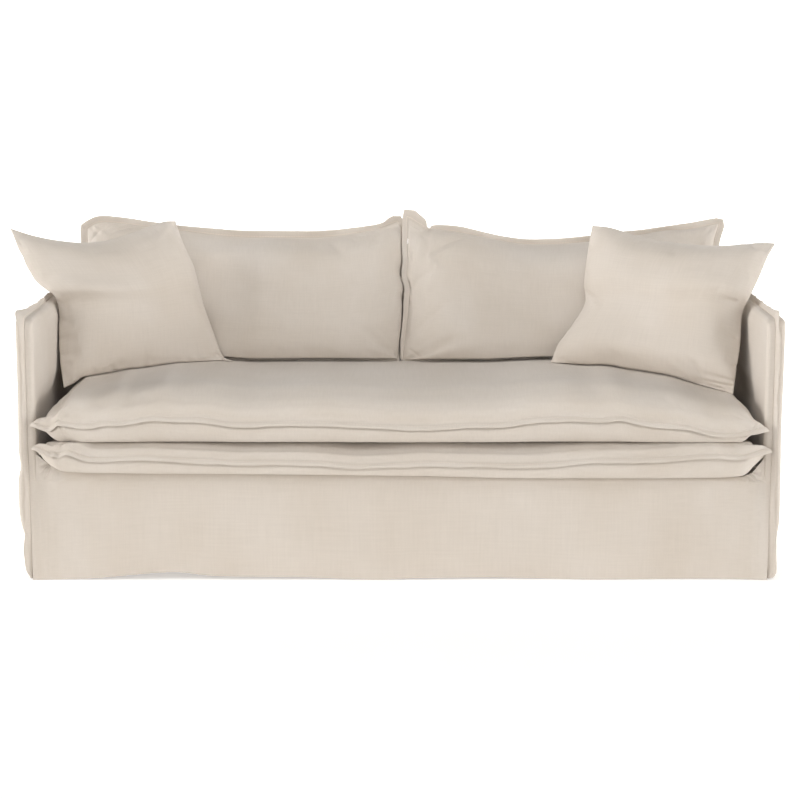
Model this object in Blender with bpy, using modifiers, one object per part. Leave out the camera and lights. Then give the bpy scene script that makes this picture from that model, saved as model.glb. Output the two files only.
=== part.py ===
"""Loose linen covers of a three-seat sofa, as CAD solids in metres: the hollow frame cover with a
skirt to the floor, and the covered seat, back and scatter cushions that lie in it."""

import math

import bmesh
import bpy

# Heights are worked out from the floor and depths from the front of the cover. The last step moves
# all of it so that the middle of the deck's underside, where the sofa's frame carries it, is zero.
HALF_WIDTH = 0.995
SEAM_X = 0.9715
INNER_X = 0.9485
ARM_TOP = 0.690
ARM_ROUND = 0.011
DECK_TOP = 0.276
SKIRT_TOP = 0.262
BACK_INNER_Y = 0.868
BACK_SEAM_Y = 0.899
BACK_OUTER_Y = 0.928
CLOTH = 0.002
SEAM_GAP = 0.0005
FLANGE = 0.0026
MIDDLE_Y = 0.45
SEAT_REST = 0.0004


def curve(table, at):
    """The columns after the first, smoothly between the rows of a short table, at a value of the first."""
    if at <= table[0][0]:
        return list(table[0][1:])
    if at >= table[-1][0]:
        return list(table[-1][1:])
    i = max(k for k in range(len(table) - 1) if table[k][0] <= at)
    a, b = table[i], table[i + 1]
    before, after = table[max(i - 1, 0)], table[min(i + 2, len(table) - 1)]
    step = b[0] - a[0]
    t = (at - a[0]) / step
    found = []
    for k in range(1, len(a)):
        slope_a = (b[k] - before[k]) / (b[0] - before[0]) * step
        slope_b = (after[k] - a[k]) / (after[0] - a[0]) * step
        found.append(
            (2 * t**3 - 3 * t**2 + 1) * a[k]
            + (t**3 - 2 * t**2 + t) * slope_a
            + (3 * t**2 - 2 * t**3) * b[k]
            + (t**3 - t**2) * slope_b
        )
    return found


def stations(count, crowding):
    """Values from 0 to 1, closer together near both ends where crowding is more than 0."""
    return [
        i / count - crowding * math.sin(2 * math.pi * i / count) / (2 * math.pi)
        for i in range(count + 1)
    ]


def node(name, points, faces):
    """One object at the origin, moved from floor heights to the frame of the record."""
    mesh = bpy.data.meshes.new(name)
    mesh.from_pydata(
        [(x, y - MIDDLE_Y, z - DECK_TOP + CLOTH) for x, y, z in points], [], faces
    )
    obj = bpy.data.objects.new(name, mesh)
    bpy.context.scene.collection.objects.link(obj)
    edit = bmesh.new()
    edit.from_mesh(mesh)
    bmesh.ops.remove_doubles(edit, verts=edit.verts, dist=1e-5)
    edit.to_mesh(mesh)
    edit.free()
    return obj


def sheet(name, rows, thickness, outside_first):
    """Cloth of even thickness hung on a grid of points, with its thickness on the inner side."""
    wide = len(rows[0])
    faces = []
    for j in range(len(rows) - 1):
        for i in range(wide - 1):
            quad = (j * wide + i, j * wide + i + 1, (j + 1) * wide + i + 1, (j + 1) * wide + i)
            faces.append(quad if outside_first else quad[::-1])
    obj = node(name, [p for row in rows for p in row], faces)
    thick = obj.modifiers.new("Cloth", "SOLIDIFY")
    thick.thickness = thickness
    thick.offset = -1
    return obj


def wrapped(path, heights, top, rounding):
    """Rows of a panel that hangs from a seam: each column of the path has its place on the face and
    its place on the seam, and the rows run up the face, round the edge and in to the seam."""
    rows = []
    for z in heights:
        rows.append([(x, y, z) for x, y, _, _ in path])
    turns = [(top - rounding + rounding * math.sin(a), rounding - rounding * math.cos(a))
             for a in (0, math.pi / 6, math.pi / 3, math.pi / 2)] + [(top, 1.0)]
    for z, inset in turns:
        row = []
        for x, y, seam_x, seam_y in path:
            reach = math.hypot(seam_x - x, seam_y - y)
            share = 1.0 if inset >= reach else inset / reach
            row.append((x + (seam_x - x) * share, y + (seam_y - y) * share, z))
        rows.append(row)
    return rows


def ribbon(name, lines, ups, closed):
    """A folded strip of cloth sewn into a seam, from lines of points that run along it side by side:
    the first in the seam, the last its free edge, with the way each line's thickness goes."""
    half, across, count = FLANGE / 2, len(lines), len(lines[0])
    points = []
    for i in range(count):
        for side, order in ((half, range(across)), (-half, range(across - 1, -1, -1))):
            for j in order:
                points.append(tuple(lines[j][i][k] + ups[j][i][k] * side for k in range(3)))
    around = 2 * across
    faces = []
    for i in range(count if closed else count - 1):
        a, b = around * i, around * ((i + 1) % count)
        for k in range(around):
            m = (k + 1) % around
            faces.append((a + k, a + m, b + m, b + k))
    if not closed:
        faces += [tuple(range(around))[::-1], tuple(around * (count - 1) + k for k in range(around))]
    turn_out(node(name, points, faces))


def turn_out(obj):
    edit = bmesh.new()
    edit.from_mesh(obj.data)
    bmesh.ops.recalc_face_normals(edit, faces=edit.faces)
    if edit.calc_volume(signed=True) < 0:
        bmesh.ops.reverse_faces(edit, faces=edit.faces)
    edit.to_mesh(obj.data)
    edit.free()


def patch(sides, u, v):
    """A point of the surface stretched between four side curves."""
    low, high = curve(sides["low"], u), curve(sides["high"], u)
    left, right = curve(sides["left"], v), curve(sides["right"], v)
    corners = [sides["low"][0][1:], sides["low"][-1][1:], sides["high"][0][1:], sides["high"][-1][1:]]
    return tuple(
        (1 - v) * low[k] + v * high[k] + (1 - u) * left[k] + u * right[k]
        - (1 - u) * (1 - v) * corners[0][k] - u * (1 - v) * corners[1][k]
        - (1 - u) * v * corners[2][k] - u * v * corners[3][k]
        for k in range(3)
    )


def full(t, firmness, edge):
    """How full a cushion is across one way: 0 at both seams, 1 in the middle."""
    return (1 - abs(2 * t - 1) ** firmness) ** edge


def cushion(name, sides, across, along, up, depths, firm, settle, crowding=0.6):
    """A filled cushion of two panels joined round their rims. It returns the rim, in order."""
    points, index = [], {}
    us, vs = stations(across, 0.55), stations(along, crowding)
    for side in (0, 1):
        for j, v in enumerate(vs):
            for i, u in enumerate(us):
                rim = i in (0, across) or j in (0, along)
                if side == 1 and rim:
                    index[side, i, j] = index[0, i, j]
                    continue
                x, y, z = patch(sides, u, v)
                if not rim:
                    depth = depths(u, v)[side] * full(u, firm[0], firm[2]) * full(v, firm[1], firm[2])
                    depth *= 1 if side == 0 else -1
                    x, y, z = x + up[0] * depth, y + up[1] * depth, z + up[2] * depth
                x, y, z = settle(x, y, z, "rim" if rim else side)
                index[side, i, j] = len(points)
                points.append((x, y, z))
    faces = []
    for side in (0, 1):
        for j in range(along):
            for i in range(across):
                quad = tuple(
                    index[side, a, b] for a, b in ((i, j), (i + 1, j), (i + 1, j + 1), (i, j + 1))
                )
                faces.append(quad if side == 0 else quad[::-1])
    obj = node(name, points, faces)
    turn_out(obj)
    rim = [(i, 0) for i in range(across)] + [(across, j) for j in range(along)]
    rim += [(i, along) for i in range(across, 0, -1)] + [(0, j) for j in range(along, 0, -1)]
    return [points[index[0, i, j]] for i, j in rim]


def rim_flange(name, rim, centre, up, spread):
    """The flange round a cushion's seam: spread gives its width and its droop at a point."""
    roots, tips, ups = [], [], []
    count = len(rim)
    for i, here in enumerate(rim):
        before, after = rim[i - 1], rim[(i + 1) % count]
        one = unit([here[k] - before[k] for k in range(3)])
        two = unit([after[k] - here[k] for k in range(3)])
        along = unit([one[k] + two[k] for k in range(3)])
        out = unit(cross(along, up))
        if sum(out[k] * (here[k] - centre[k]) for k in range(3)) < 0:
            out = [-a for a in out]
        bend = max(0.6, math.sqrt((1 + sum(one[k] * two[k] for k in range(3))) / 2))
        width, droop = spread(*here)
        roots.append(tuple(here[k] + out[k] * 0.0008 / bend for k in range(3)))
        tips.append(tuple(here[k] + out[k] * width / bend - up[k] * droop for k in range(3)))
        lean = math.atan2(droop, width)
        ups.append([up[k] * math.cos(lean) + out[k] * math.sin(lean) for k in range(3)])
    ribbon(name, [roots, tips], [ups, ups], True)


def cross(a, b):
    return [a[1] * b[2] - a[2] * b[1], a[2] * b[0] - a[0] * b[2], a[0] * b[1] - a[1] * b[0]]


def unit(a):
    size = math.sqrt(sum(k * k for k in a))
    return [k / size for k in a]


# ---- the frame cover -------------------------------------------------------------------------

# How the outer front edge of each arm runs: height, then how far it is drawn in from the full width.
LEFT_EDGE = (
    (0.000, 0.020),
    (0.035, 0.018),
    (0.080, 0.017),
    (0.110, 0.013),
    (0.135, 0.005),
    (0.160, 0.000),
    (0.200, -0.003),
    (0.270, -0.002),
    (0.300, 0.004),
    (0.340, 0.000),
    (0.500, 0.001),
    (0.700, 0.000),
)
RIGHT_EDGE = (
    (0.000, 0.013),
    (0.012, 0.004),
    (0.060, 0.005),
    (0.110, 0.006),
    (0.150, 0.001),
    (0.220, 0.000),
    (0.420, 0.001),
    (0.560, -0.001),
    (0.700, -0.002),
)
# The front hem, along the width: its height over the floor and how far it stands out of plumb.
HEM = (
    (-0.970, 0.0005, 0.009),
    (-0.890, 0.0010, 0.005),
    (-0.790, 0.0050, 0.004),
    (-0.640, 0.0160, -0.004),
    (-0.580, 0.0170, -0.006),
    (-0.490, 0.0090, 0.000),
    (-0.250, 0.0060, 0.003),
    (-0.060, 0.0005, 0.008),
    (0.030, 0.0040, 0.006),
    (0.250, 0.0045, -0.002),
    (0.420, 0.0015, 0.001),
    (0.500, 0.0005, 0.006),
    (0.720, 0.0020, 0.002),
    (0.840, 0.0020, 0.002),
    (0.970, 0.0005, 0.010),
)


def seam_sway(z):
    """How far the arm's front seam drifts inwards towards the floor."""
    return 0.006 * max(0.0, 1 - z / 0.5) ** 1.3


def arm_place(side, x, y, z):
    """The uneven hang of an arm's cloth, given a point of the straight arm on the side of +1 or -1."""
    edge = curve(LEFT_EDGE if side < 0 else RIGHT_EDGE, z)[0]
    at_front = math.exp(-(y / 0.16) ** 2)
    free = abs(x - SEAM_X) - FLANGE
    outer = min(1.0, max(0.0, free / 0.019)) if x > SEAM_X else 0.0
    inner = min(1.0, max(0.0, free / 0.019)) if x < SEAM_X else 0.0
    low = max(0.0, 1 - z / ARM_TOP)
    swell = 0.004 * low * math.sin(7.3 * y + 1.1 * side) + 0.002 * math.sin(11 * y + 9 * z + side)
    x -= seam_sway(z) * at_front * (1 - outer)
    x -= edge * at_front * outer
    x += swell * (1 - at_front) * outer
    x += 0.0015 * math.sin(9 * y + 7 * z) * inner * (1 - at_front)
    corner = 0.022
    back, down = min(y, corner) / corner, min(ARM_TOP - z, corner) / corner
    if y < corner and ARM_TOP - z < corner:
        a, b = 1 - back, 1 - down
        y = corner * (1 - a * math.sqrt(1 - b * b / 2))
        z = ARM_TOP - corner * (1 - b * math.sqrt(1 - a * a / 2))
    sag = 0.003 * math.sin(math.pi * min(1.0, y / 0.86)) ** 2
    return side * x, y, z - sag * max(0.0, min(1.0, (z - 0.5) / 0.18))


def arm_panels(side, label):
    depths = [0.05, 0.10, 0.17, 0.26, 0.36, 0.47, 0.58, 0.69, 0.80]
    outer_seam = SEAM_X + FLANGE / 2 + SEAM_GAP
    inner_seam = SEAM_X - FLANGE / 2 - SEAM_GAP
    turn = [(math.sin(a), 1 - math.cos(a)) for a in (math.pi / 6, math.pi / 3, math.pi / 2)]
    path = [(outer_seam, 0.0, outer_seam, 0.0), (HALF_WIDTH - ARM_ROUND, 0.0, outer_seam, 0.0)]
    for across, back in turn:
        x, y = HALF_WIDTH - ARM_ROUND + ARM_ROUND * across, ARM_ROUND * back
        path.append((x, y, outer_seam, y))
    path += [(HALF_WIDTH, y, outer_seam, y) for y in depths + [BACK_SEAM_Y + FLANGE / 2 - 0.0001]]
    heights = [0.0035, 0.02, 0.05, 0.085, 0.12, 0.155, 0.20, 0.26, 0.30, 0.35, 0.44, 0.54, 0.62]
    rows = wrapped(path, heights, ARM_TOP, ARM_ROUND)
    rows = [[arm_place(side, *p) for p in row] for row in rows]
    sheet("arm_outside_" + label, rows, CLOTH, side > 0)

    path = [(inner_seam, 0.0, inner_seam, 0.0), (INNER_X + ARM_ROUND, 0.0, inner_seam, 0.0)]
    for across, back in turn:
        x, y = INNER_X + ARM_ROUND - ARM_ROUND * across, ARM_ROUND * back
        path.append((x, y, inner_seam, y))
    path += [(INNER_X, y, inner_seam, y) for y in depths]
    path.append((INNER_X, BACK_INNER_Y - 0.001, inner_seam, BACK_SEAM_Y - FLANGE / 2 - 0.001))
    heights = [SKIRT_TOP + SEAM_GAP, 0.275, 0.30, 0.36, 0.44, 0.53, 0.62]
    rows = wrapped(path, heights, ARM_TOP, ARM_ROUND)
    rows = [[arm_place(side, *p) for p in row] for row in rows]
    sheet("arm_inside_" + label, rows, CLOTH, side < 0)


# The free edge of the arm flange: length along the seam from the hem, how far it stands off the seam
# and how far it leans to the outside.
LEFT_FLANGE = (
    (0.00, 0.010, 0.003),
    (0.02, 0.008, 0.014),
    (0.05, 0.007, 0.018),
    (0.10, 0.007, 0.018),
    (0.14, 0.009, 0.014),
    (0.22, 0.011, 0.010),
    (0.32, 0.011, 0.010),
    (0.45, 0.011, 0.009),
    (0.58, 0.012, 0.008),
    (0.65, 0.013, 0.011),
    (0.70, 0.019, 0.022),
    (0.76, 0.016, 0.012),
    (0.90, 0.015, 0.003),
    (1.10, 0.014, 0.004),
    (1.60, 0.014, 0.000),
)
RIGHT_FLANGE = (
    (0.00, 0.011, 0.003),
    (0.02, 0.008, 0.014),
    (0.05, 0.007, 0.019),
    (0.10, 0.007, 0.020),
    (0.14, 0.008, 0.016),
    (0.20, 0.010, 0.011),
    (0.30, 0.011, 0.009),
    (0.42, 0.011, 0.009),
    (0.52, 0.012, 0.008),
    (0.58, 0.011, 0.012),
    (0.63, 0.010, 0.013),
    (0.67, 0.014, 0.004),
    (0.70, 0.019, 0.008),
    (0.78, 0.015, 0.004),
    (1.00, 0.014, 0.003),
    (1.60, 0.014, 0.000),
)


def arm_flange(side, label, table):
    """The strip up the middle of the arm's front and back along the middle of its top."""
    line = [(0.0, z, 0.0, -1.0) for z in stations_between(0.004, 0.655, 17)]
    line += [(0.0, 0.672, -0.25, -1.0), (0.0, ARM_TOP, 1.0, -1.0), (0.018, ARM_TOP, 1.0, -0.25)]
    line += [(y, ARM_TOP, 1.0, 0.0) for y in stations_between(0.04, BACK_SEAM_Y - 0.002, 16)]
    roots, bends, tips = [], [], []
    straight, leaning = [], []
    length, last = 0.0, None
    for y, z, _, _ in line:
        at_top = z > 0.68
        if last is not None:
            length += math.hypot(y - last[0], z - last[1])
        last = (y, z)
        width, lean = curve(table, length)
        x, ry, rz = arm_place(side, SEAM_X, y, z)
        if at_top and y < 0.001:
            out = (-0.75, 0.75)
        elif at_top:
            out = (0.0, 1.0)
        else:
            out = (-1.0, 0.0)
        roots.append((x, ry + out[0] * -0.002, rz + out[1] * -0.002))
        bends.append((x, ry + out[0] * 0.002, rz + out[1] * 0.002))
        tips.append((x + side * lean, ry + out[0] * width, rz + out[1] * width))
        straight.append((1.0, 0.0, 0.0))
        reach = max(width - 0.002, 0.001)
        leaning.append(unit((reach, -side * lean * out[0], -side * lean * out[1])))
    ribbon("arm_flange_" + label, [roots, bends, tips], [straight, straight, leaning], False)


def stations_between(start, end, count):
    return [start + (end - start) * i / (count - 1) for i in range(count)]


def skirt_place(x, z):
    lift, out = curve(HEM, x)
    low = max(0.0, 1 - z / SKIRT_TOP)
    side = min(1.0, max(0.0, (abs(x) - 0.90) / 0.065))
    y = -out * low**1.5 - 0.0025 * math.sin(17 * x + 3 * z) * math.sin(math.pi * low) * (1 - side)
    tuck = math.exp(-((abs(x) - 0.952) / 0.02) ** 2) * math.exp(-((SKIRT_TOP - z) / 0.03) ** 2)
    return y + 0.004 * tuck, lift * low


def front_skirt():
    edge = SEAM_X - FLANGE / 2 - SEAM_GAP
    rows = []
    for z in (0.0, 0.018, 0.045, 0.08, 0.12, 0.165, 0.205, 0.235, SKIRT_TOP):
        row = []
        for share in stations(40, 0.35):
            x = -edge + 2 * edge * share
            y, lift = skirt_place(x, z)
            drawn = abs(x) - seam_sway(z) * max(0.0, (abs(x) - 0.75) / (edge - 0.75))
            row.append((math.copysign(drawn, x), y, z + lift))
        rows.append(row)
    sheet("front_skirt", rows, CLOTH, True)


def deck():
    edge = INNER_X - 0.0025 - CLOTH
    profile = [(0.0006, SKIRT_TOP + SEAM_GAP + 0.0005), (0.002, 0.269), (0.006, 0.274), (0.014, DECK_TOP)]
    profile += [(y, DECK_TOP) for y in (0.20, 0.42, 0.64, BACK_INNER_Y - CLOTH - 0.002)]
    rows = []
    for y, z in profile:
        rows.append([(-edge + 2 * edge * share, y, z) for share in stations(14, 0.0)])
    sheet("deck", rows, CLOTH, True)


def back_panels():
    inner_seam = BACK_SEAM_Y - FLANGE / 2 - SEAM_GAP
    outer_seam = BACK_SEAM_Y + FLANGE / 2 + SEAM_GAP
    reach = INNER_X - 0.0005 - CLOTH
    path = []
    for share in stations(10, 0.0):
        x = -reach + 2 * reach * share
        seam_x = x if abs(x) < reach - 0.01 else math.copysign(SEAM_X - FLANGE / 2 - 0.0015, x)
        path.append((x, BACK_INNER_Y, seam_x, inner_seam))
    rows = wrapped(path, [0.280, 0.42, 0.56], ARM_TOP, ARM_ROUND)
    sheet("back_inside", rows, CLOTH, True)

    corner = [(HALF_WIDTH, BACK_SEAM_Y + FLANGE / 2 + 0.0004), (HALF_WIDTH, BACK_OUTER_Y - ARM_ROUND)]
    for a in (math.pi / 6, math.pi / 3, math.pi / 2):
        corner.append((HALF_WIDTH - ARM_ROUND * (1 - math.cos(a)), BACK_OUTER_Y - ARM_ROUND * (1 - math.sin(a))))
    middle = [(x, BACK_OUTER_Y) for x in stations_between(0.86, -0.86, 15)]
    line = corner + middle + [(-x, y) for x, y in corner[::-1]]
    path = []
    for x, y in line:
        path.append((x, y, math.copysign(min(abs(x), SEAM_X + FLANGE / 2 + 0.001), x), outer_seam))
    rows = wrapped(path, [0.0035, 0.04, 0.10, 0.18, 0.28, 0.40, 0.54], ARM_TOP, ARM_ROUND)
    hung = []
    for row in rows:
        hung.append([back_place(x, y, z) for x, y, z in row])
    sheet("back_outside", hung, CLOTH, True)


def back_place(x, y, z):
    """The unseen back panel's hang: shallow folds that grow towards the hem."""
    low = max(0.0, 1 - z / ARM_TOP)
    free = min(1.0, max(0.0, (0.97 - abs(x)) / 0.15))
    swell = 0.004 * low * math.sin(7.3 * BACK_SEAM_Y + math.copysign(1.1, x))
    swell += 0.002 * math.sin(11 * BACK_SEAM_Y + 9 * z + math.copysign(1.0, x))
    outer = min(1.0, max(0.0, (abs(x) - SEAM_X) / (HALF_WIDTH - SEAM_X)))
    y += 0.006 * low * math.sin(9 * x + 2) * free
    return x + math.copysign(swell * outer, x), y, z


def back_flange():
    reach = SEAM_X - FLANGE / 2 - SEAM_GAP - 0.001
    roots, bends, tips, ups = [], [], [], []
    for x in stations_between(-reach, reach, 20):
        roots.append((x, BACK_SEAM_Y, ARM_TOP - 0.002))
        bends.append((x, BACK_SEAM_Y, ARM_TOP + 0.002))
        tips.append((x, BACK_SEAM_Y + 0.003 * math.sin(8 * x), ARM_TOP + 0.014))
        ups.append((0.0, 1.0, 0.0))
    ribbon("back_flange", [roots, bends, tips], [ups, ups, ups], False)


# ---- the seat cushions -----------------------------------------------------------------------

# The sides of each cushion's seam, as share of the side, then x, y and height.
SEAT_UPPER = {
    "low": (
        (0.00, -0.947, -0.016, 0.404),
        (0.04, -0.870, -0.024, 0.413),
        (0.08, -0.800, -0.025, 0.411),
        (0.16, -0.643, -0.026, 0.428),
        (0.23, -0.515, -0.025, 0.427),
        (0.28, -0.420, -0.024, 0.414),
        (0.37, -0.250, -0.026, 0.418),
        (0.48, -0.045, -0.027, 0.410),
        (0.63, 0.240, -0.026, 0.413),
        (0.70, 0.375, -0.025, 0.426),
        (0.78, 0.525, -0.026, 0.426),
        (0.87, 0.700, -0.025, 0.412),
        (0.93, 0.815, -0.022, 0.392),
        (0.97, 0.890, -0.019, 0.389),
        (1.00, 0.943, -0.014, 0.397),
    ),
    "right": (
        (0.000, 0.943, -0.014, 0.397),
        (0.025, 0.928, 0.006, 0.400),
        (0.500, 0.920, 0.400, 0.410),
        (1.000, 0.930, 0.845, 0.405),
    ),
    "high": (
        (0.00, -0.930, 0.845, 0.405),
        (0.50, 0.000, 0.850, 0.410),
        (1.00, 0.930, 0.845, 0.405),
    ),
    "left": (
        (0.000, -0.947, -0.016, 0.404),
        (0.025, -0.928, 0.006, 0.405),
        (0.500, -0.920, 0.400, 0.410),
        (1.000, -0.930, 0.845, 0.405),
    ),
}
SEAT_LOWER = {
    "low": (
        (0.00, -0.943, -0.022, 0.349),
        (0.03, -0.890, -0.030, 0.336),
        (0.07, -0.808, -0.036, 0.329),
        (0.15, -0.655, -0.039, 0.329),
        (0.24, -0.482, -0.040, 0.322),
        (0.36, -0.260, -0.040, 0.318),
        (0.44, -0.105, -0.040, 0.312),
        (0.55, 0.100, -0.041, 0.315),
        (0.68, 0.350, -0.040, 0.314),
        (0.78, 0.540, -0.040, 0.323),
        (0.90, 0.770, -0.037, 0.331),
        (0.96, 0.885, -0.030, 0.329),
        (1.00, 0.953, -0.022, 0.341),
    ),
    "right": (
        (0.00, 0.953, -0.022, 0.341),
        (0.02, 0.930, -0.006, 0.330),
        (0.50, 0.924, 0.400, 0.320),
        (1.00, 0.932, 0.845, 0.320),
    ),
    "high": (
        (0.00, -0.932, 0.845, 0.320),
        (0.50, 0.000, 0.850, 0.320),
        (1.00, 0.932, 0.845, 0.320),
    ),
    "left": (
        (0.00, -0.943, -0.022, 0.349),
        (0.02, -0.930, -0.006, 0.334),
        (0.50, -0.924, 0.400, 0.320),
        (1.00, -0.932, 0.845, 0.320),
    ),
}
LOWER_TOP = 0.3605


def upper_depths(u, v):
    dip = 0.010 * math.exp(-(((u - 0.5) / 0.3) ** 2)) * v
    wave = 0.0025 * math.sin(19 * u + 2 * v) * math.exp(-v / 0.15)
    return 0.083 - dip + wave, 0.060


def seat_height(x, y):
    """The height of the upper seat cushion's crown."""
    u = min(1.0, max(0.0, 0.5 + x / 1.87))
    v = min(1.0, max(0.0, (y + 0.02) / 0.87))
    return patch(SEAT_UPPER, u, v)[2] + upper_depths(u, v)[0] * full(u, 16, 0.4) * full(v, 9, 0.4)


def seat_settle(x, y, z, side):
    """The upper seat cushion lies on the lower one, between the arms."""
    if side == 1:
        z = max(z, LOWER_TOP + SEAT_REST)
    return x, y, z


def lower_settle(x, y, z, side):
    """The lower seat cushion lies on the deck and is pressed flat by the upper one."""
    if side == 1:
        z = max(z, DECK_TOP + SEAT_REST)
    if side == 0:
        z = min(z, LOWER_TOP)
    return x, y, z


def front_spread(x, y, z):
    """Width and droop of a seat cushion's flange: full in front, narrow where arms and back press it."""
    ahead = min(1.0, max(0.0, (0.008 - y) / 0.016))
    droop = 0.004 + 0.002 * math.sin(21 * x) + 0.001 * math.sin(47 * x + 1)
    return 0.006 + 0.009 * ahead, droop * ahead


def seat_cushions():
    rim = cushion(
        "seat_upper", SEAT_UPPER, 34, 12, (0.0, 0.0, 1.0), upper_depths, (16, 9, 0.4), seat_settle, 0.85
    )
    rim_flange("seat_upper_flange", rim, (0.0, 0.42, 0.40), (0.0, 0.0, 1.0), front_spread)

    def lower_depths(u, v):
        return 0.062, 0.055

    rim = cushion(
        "seat_lower", SEAT_LOWER, 30, 8, (0.0, 0.0, 1.0), lower_depths, (22, 14, 0.4), lower_settle, 0.9
    )
    rim_flange("seat_lower_flange", rim, (0.0, 0.42, 0.32), (0.0, 0.0, 1.0), front_spread)


# ---- the back cushions -----------------------------------------------------------------------

BACK_LEFT = {
    "low": (
        (0.0, -0.900, 0.612, 0.488),
        (0.5, -0.470, 0.604, 0.489),
        (1.0, -0.004, 0.612, 0.488),
    ),
    "high": (
        (0.00, -0.909, 0.800, 0.848),
        (0.04, -0.875, 0.800, 0.864),
        (0.10, -0.824, 0.800, 0.863),
        (0.20, -0.735, 0.800, 0.852),
        (0.31, -0.632, 0.800, 0.841),
        (0.44, -0.515, 0.800, 0.826),
        (0.55, -0.410, 0.800, 0.821),
        (0.78, -0.208, 0.800, 0.823),
        (0.90, -0.099, 0.800, 0.839),
        (1.00, -0.009, 0.800, 0.866),
    ),
    "left": (
        (0.0, -0.900, 0.612, 0.488),
        (0.5, -0.895, 0.715, 0.675),
        (1.0, -0.909, 0.800, 0.848),
    ),
    "right": (
        (0.0, -0.004, 0.612, 0.488),
        (0.5, -0.003, 0.715, 0.675),
        (1.0, -0.009, 0.800, 0.866),
    ),
}
BACK_RIGHT = {
    "low": (
        (0.0, 0.022, 0.612, 0.488),
        (0.5, 0.470, 0.595, 0.488),
        (1.0, 0.908, 0.590, 0.484),
    ),
    "high": (
        (0.00, 0.029, 0.790, 0.872),
        (0.04, 0.060, 0.790, 0.866),
        (0.08, 0.093, 0.795, 0.852),
        (0.21, 0.214, 0.800, 0.828),
        (0.36, 0.348, 0.800, 0.804),
        (0.49, 0.464, 0.800, 0.803),
        (0.60, 0.566, 0.800, 0.812),
        (0.73, 0.686, 0.800, 0.828),
        (0.82, 0.763, 0.800, 0.841),
        (0.90, 0.836, 0.800, 0.845),
        (1.00, 0.926, 0.800, 0.862),
    ),
    "left": (
        (0.00, 0.022, 0.612, 0.488),
        (0.25, 0.028, 0.665, 0.590),
        (0.50, 0.023, 0.715, 0.690),
        (0.75, 0.028, 0.755, 0.790),
        (1.00, 0.029, 0.790, 0.872),
    ),
    "right": (
        (0.0, 0.908, 0.590, 0.484),
        (0.5, 0.900, 0.710, 0.670),
        (1.0, 0.926, 0.800, 0.862),
    ),
}
BACK_UP = (0.0, -1.0, 0.0)


def back_settle(x, y, z, side):
    """A back cushion leans on the inside back and stands on the seat."""
    if side == 1:
        y = min(y, BACK_INNER_Y - SEAT_REST)
    if side == 0:
        z -= 0.018 * max(0.0, 1 - (z - 0.50) / 0.09)
    lowest = 0.0027 if side == "rim" else 0.0052
    return x, y, max(z, seat_height(x, y) + lowest, 0.486 + lowest)


def back_spread(x, y, z):
    """Width and droop of a back cushion's flange: it stands free only along the top and the middle."""
    free = min(1.0, max(0.0, (z - 0.50) / 0.25))
    return 0.0025 + 0.0165 * free, 0.004 * free * math.sin(31 * x)


def middle_spread(x, y, z):
    """The right cushion's flange turns forward where the two back cushions meet."""
    width, droop = back_spread(x, y, z)
    if x < 0.04 and z > 0.52:
        return 0.019, -0.008 - 0.004 * math.sin(40 * z)
    return width, droop


def back_cushions():
    def pressed_depths(u, v):
        wave = 0.004 * math.sin(7 * u + 5 * v)
        pressed = min(1.0, max(0.0, (0.56 - u) / 0.20))
        return 0.100 + wave - 0.050 * pressed, 0.150

    def depths(u, v):
        wave = 0.004 * math.sin(7 * u + 5 * v)
        return 0.100 + wave, 0.150

    firm = (4, 3.4, 0.5)
    rim = cushion("back_cushion_left", BACK_LEFT, 18, 12, BACK_UP, pressed_depths, firm, back_settle)
    rim_flange("back_cushion_left_flange", rim, (-0.46, 0.77, 0.68), BACK_UP, back_spread)
    rim = cushion("back_cushion_right", BACK_RIGHT, 18, 12, BACK_UP, depths, firm, back_settle)
    rim_flange("back_cushion_right_flange", rim, (0.48, 0.77, 0.68), BACK_UP, middle_spread)


# ---- the scatter cushions --------------------------------------------------------------------

SCATTER_LEFT = {
    "low": (
        (0.00, -0.913, 0.285, 0.463),
        (0.12, -0.869, 0.322, 0.476),
        (0.34, -0.779, 0.392, 0.482),
        (0.61, -0.661, 0.465, 0.488),
        (0.83, -0.569, 0.525, 0.492),
        (1.00, -0.493, 0.560, 0.497),
    ),
    "right": (
        (0.00, -0.493, 0.560, 0.497),
        (0.20, -0.526, 0.575, 0.570),
        (0.39, -0.554, 0.592, 0.647),
        (0.65, -0.583, 0.618, 0.752),
        (0.86, -0.618, 0.643, 0.827),
        (1.00, -0.639, 0.660, 0.882),
    ),
    "high": (
        (0.00, -1.071, 0.430, 0.883),
        (0.13, -1.013, 0.455, 0.861),
        (0.28, -0.948, 0.480, 0.845),
        (0.42, -0.883, 0.510, 0.836),
        (0.58, -0.812, 0.550, 0.840),
        (0.76, -0.737, 0.595, 0.862),
        (0.93, -0.671, 0.640, 0.882),
        (1.00, -0.639, 0.660, 0.882),
    ),
    "left": (
        (0.00, -0.913, 0.285, 0.463),
        (0.15, -0.924, 0.300, 0.535),
        (0.32, -0.929, 0.325, 0.615),
        (0.45, -0.934, 0.347, 0.675),
        (0.53, -0.953, 0.362, 0.710),
        (0.68, -1.003, 0.385, 0.754),
        (0.86, -1.043, 0.410, 0.826),
        (1.00, -1.071, 0.430, 0.883),
    ),
}
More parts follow.
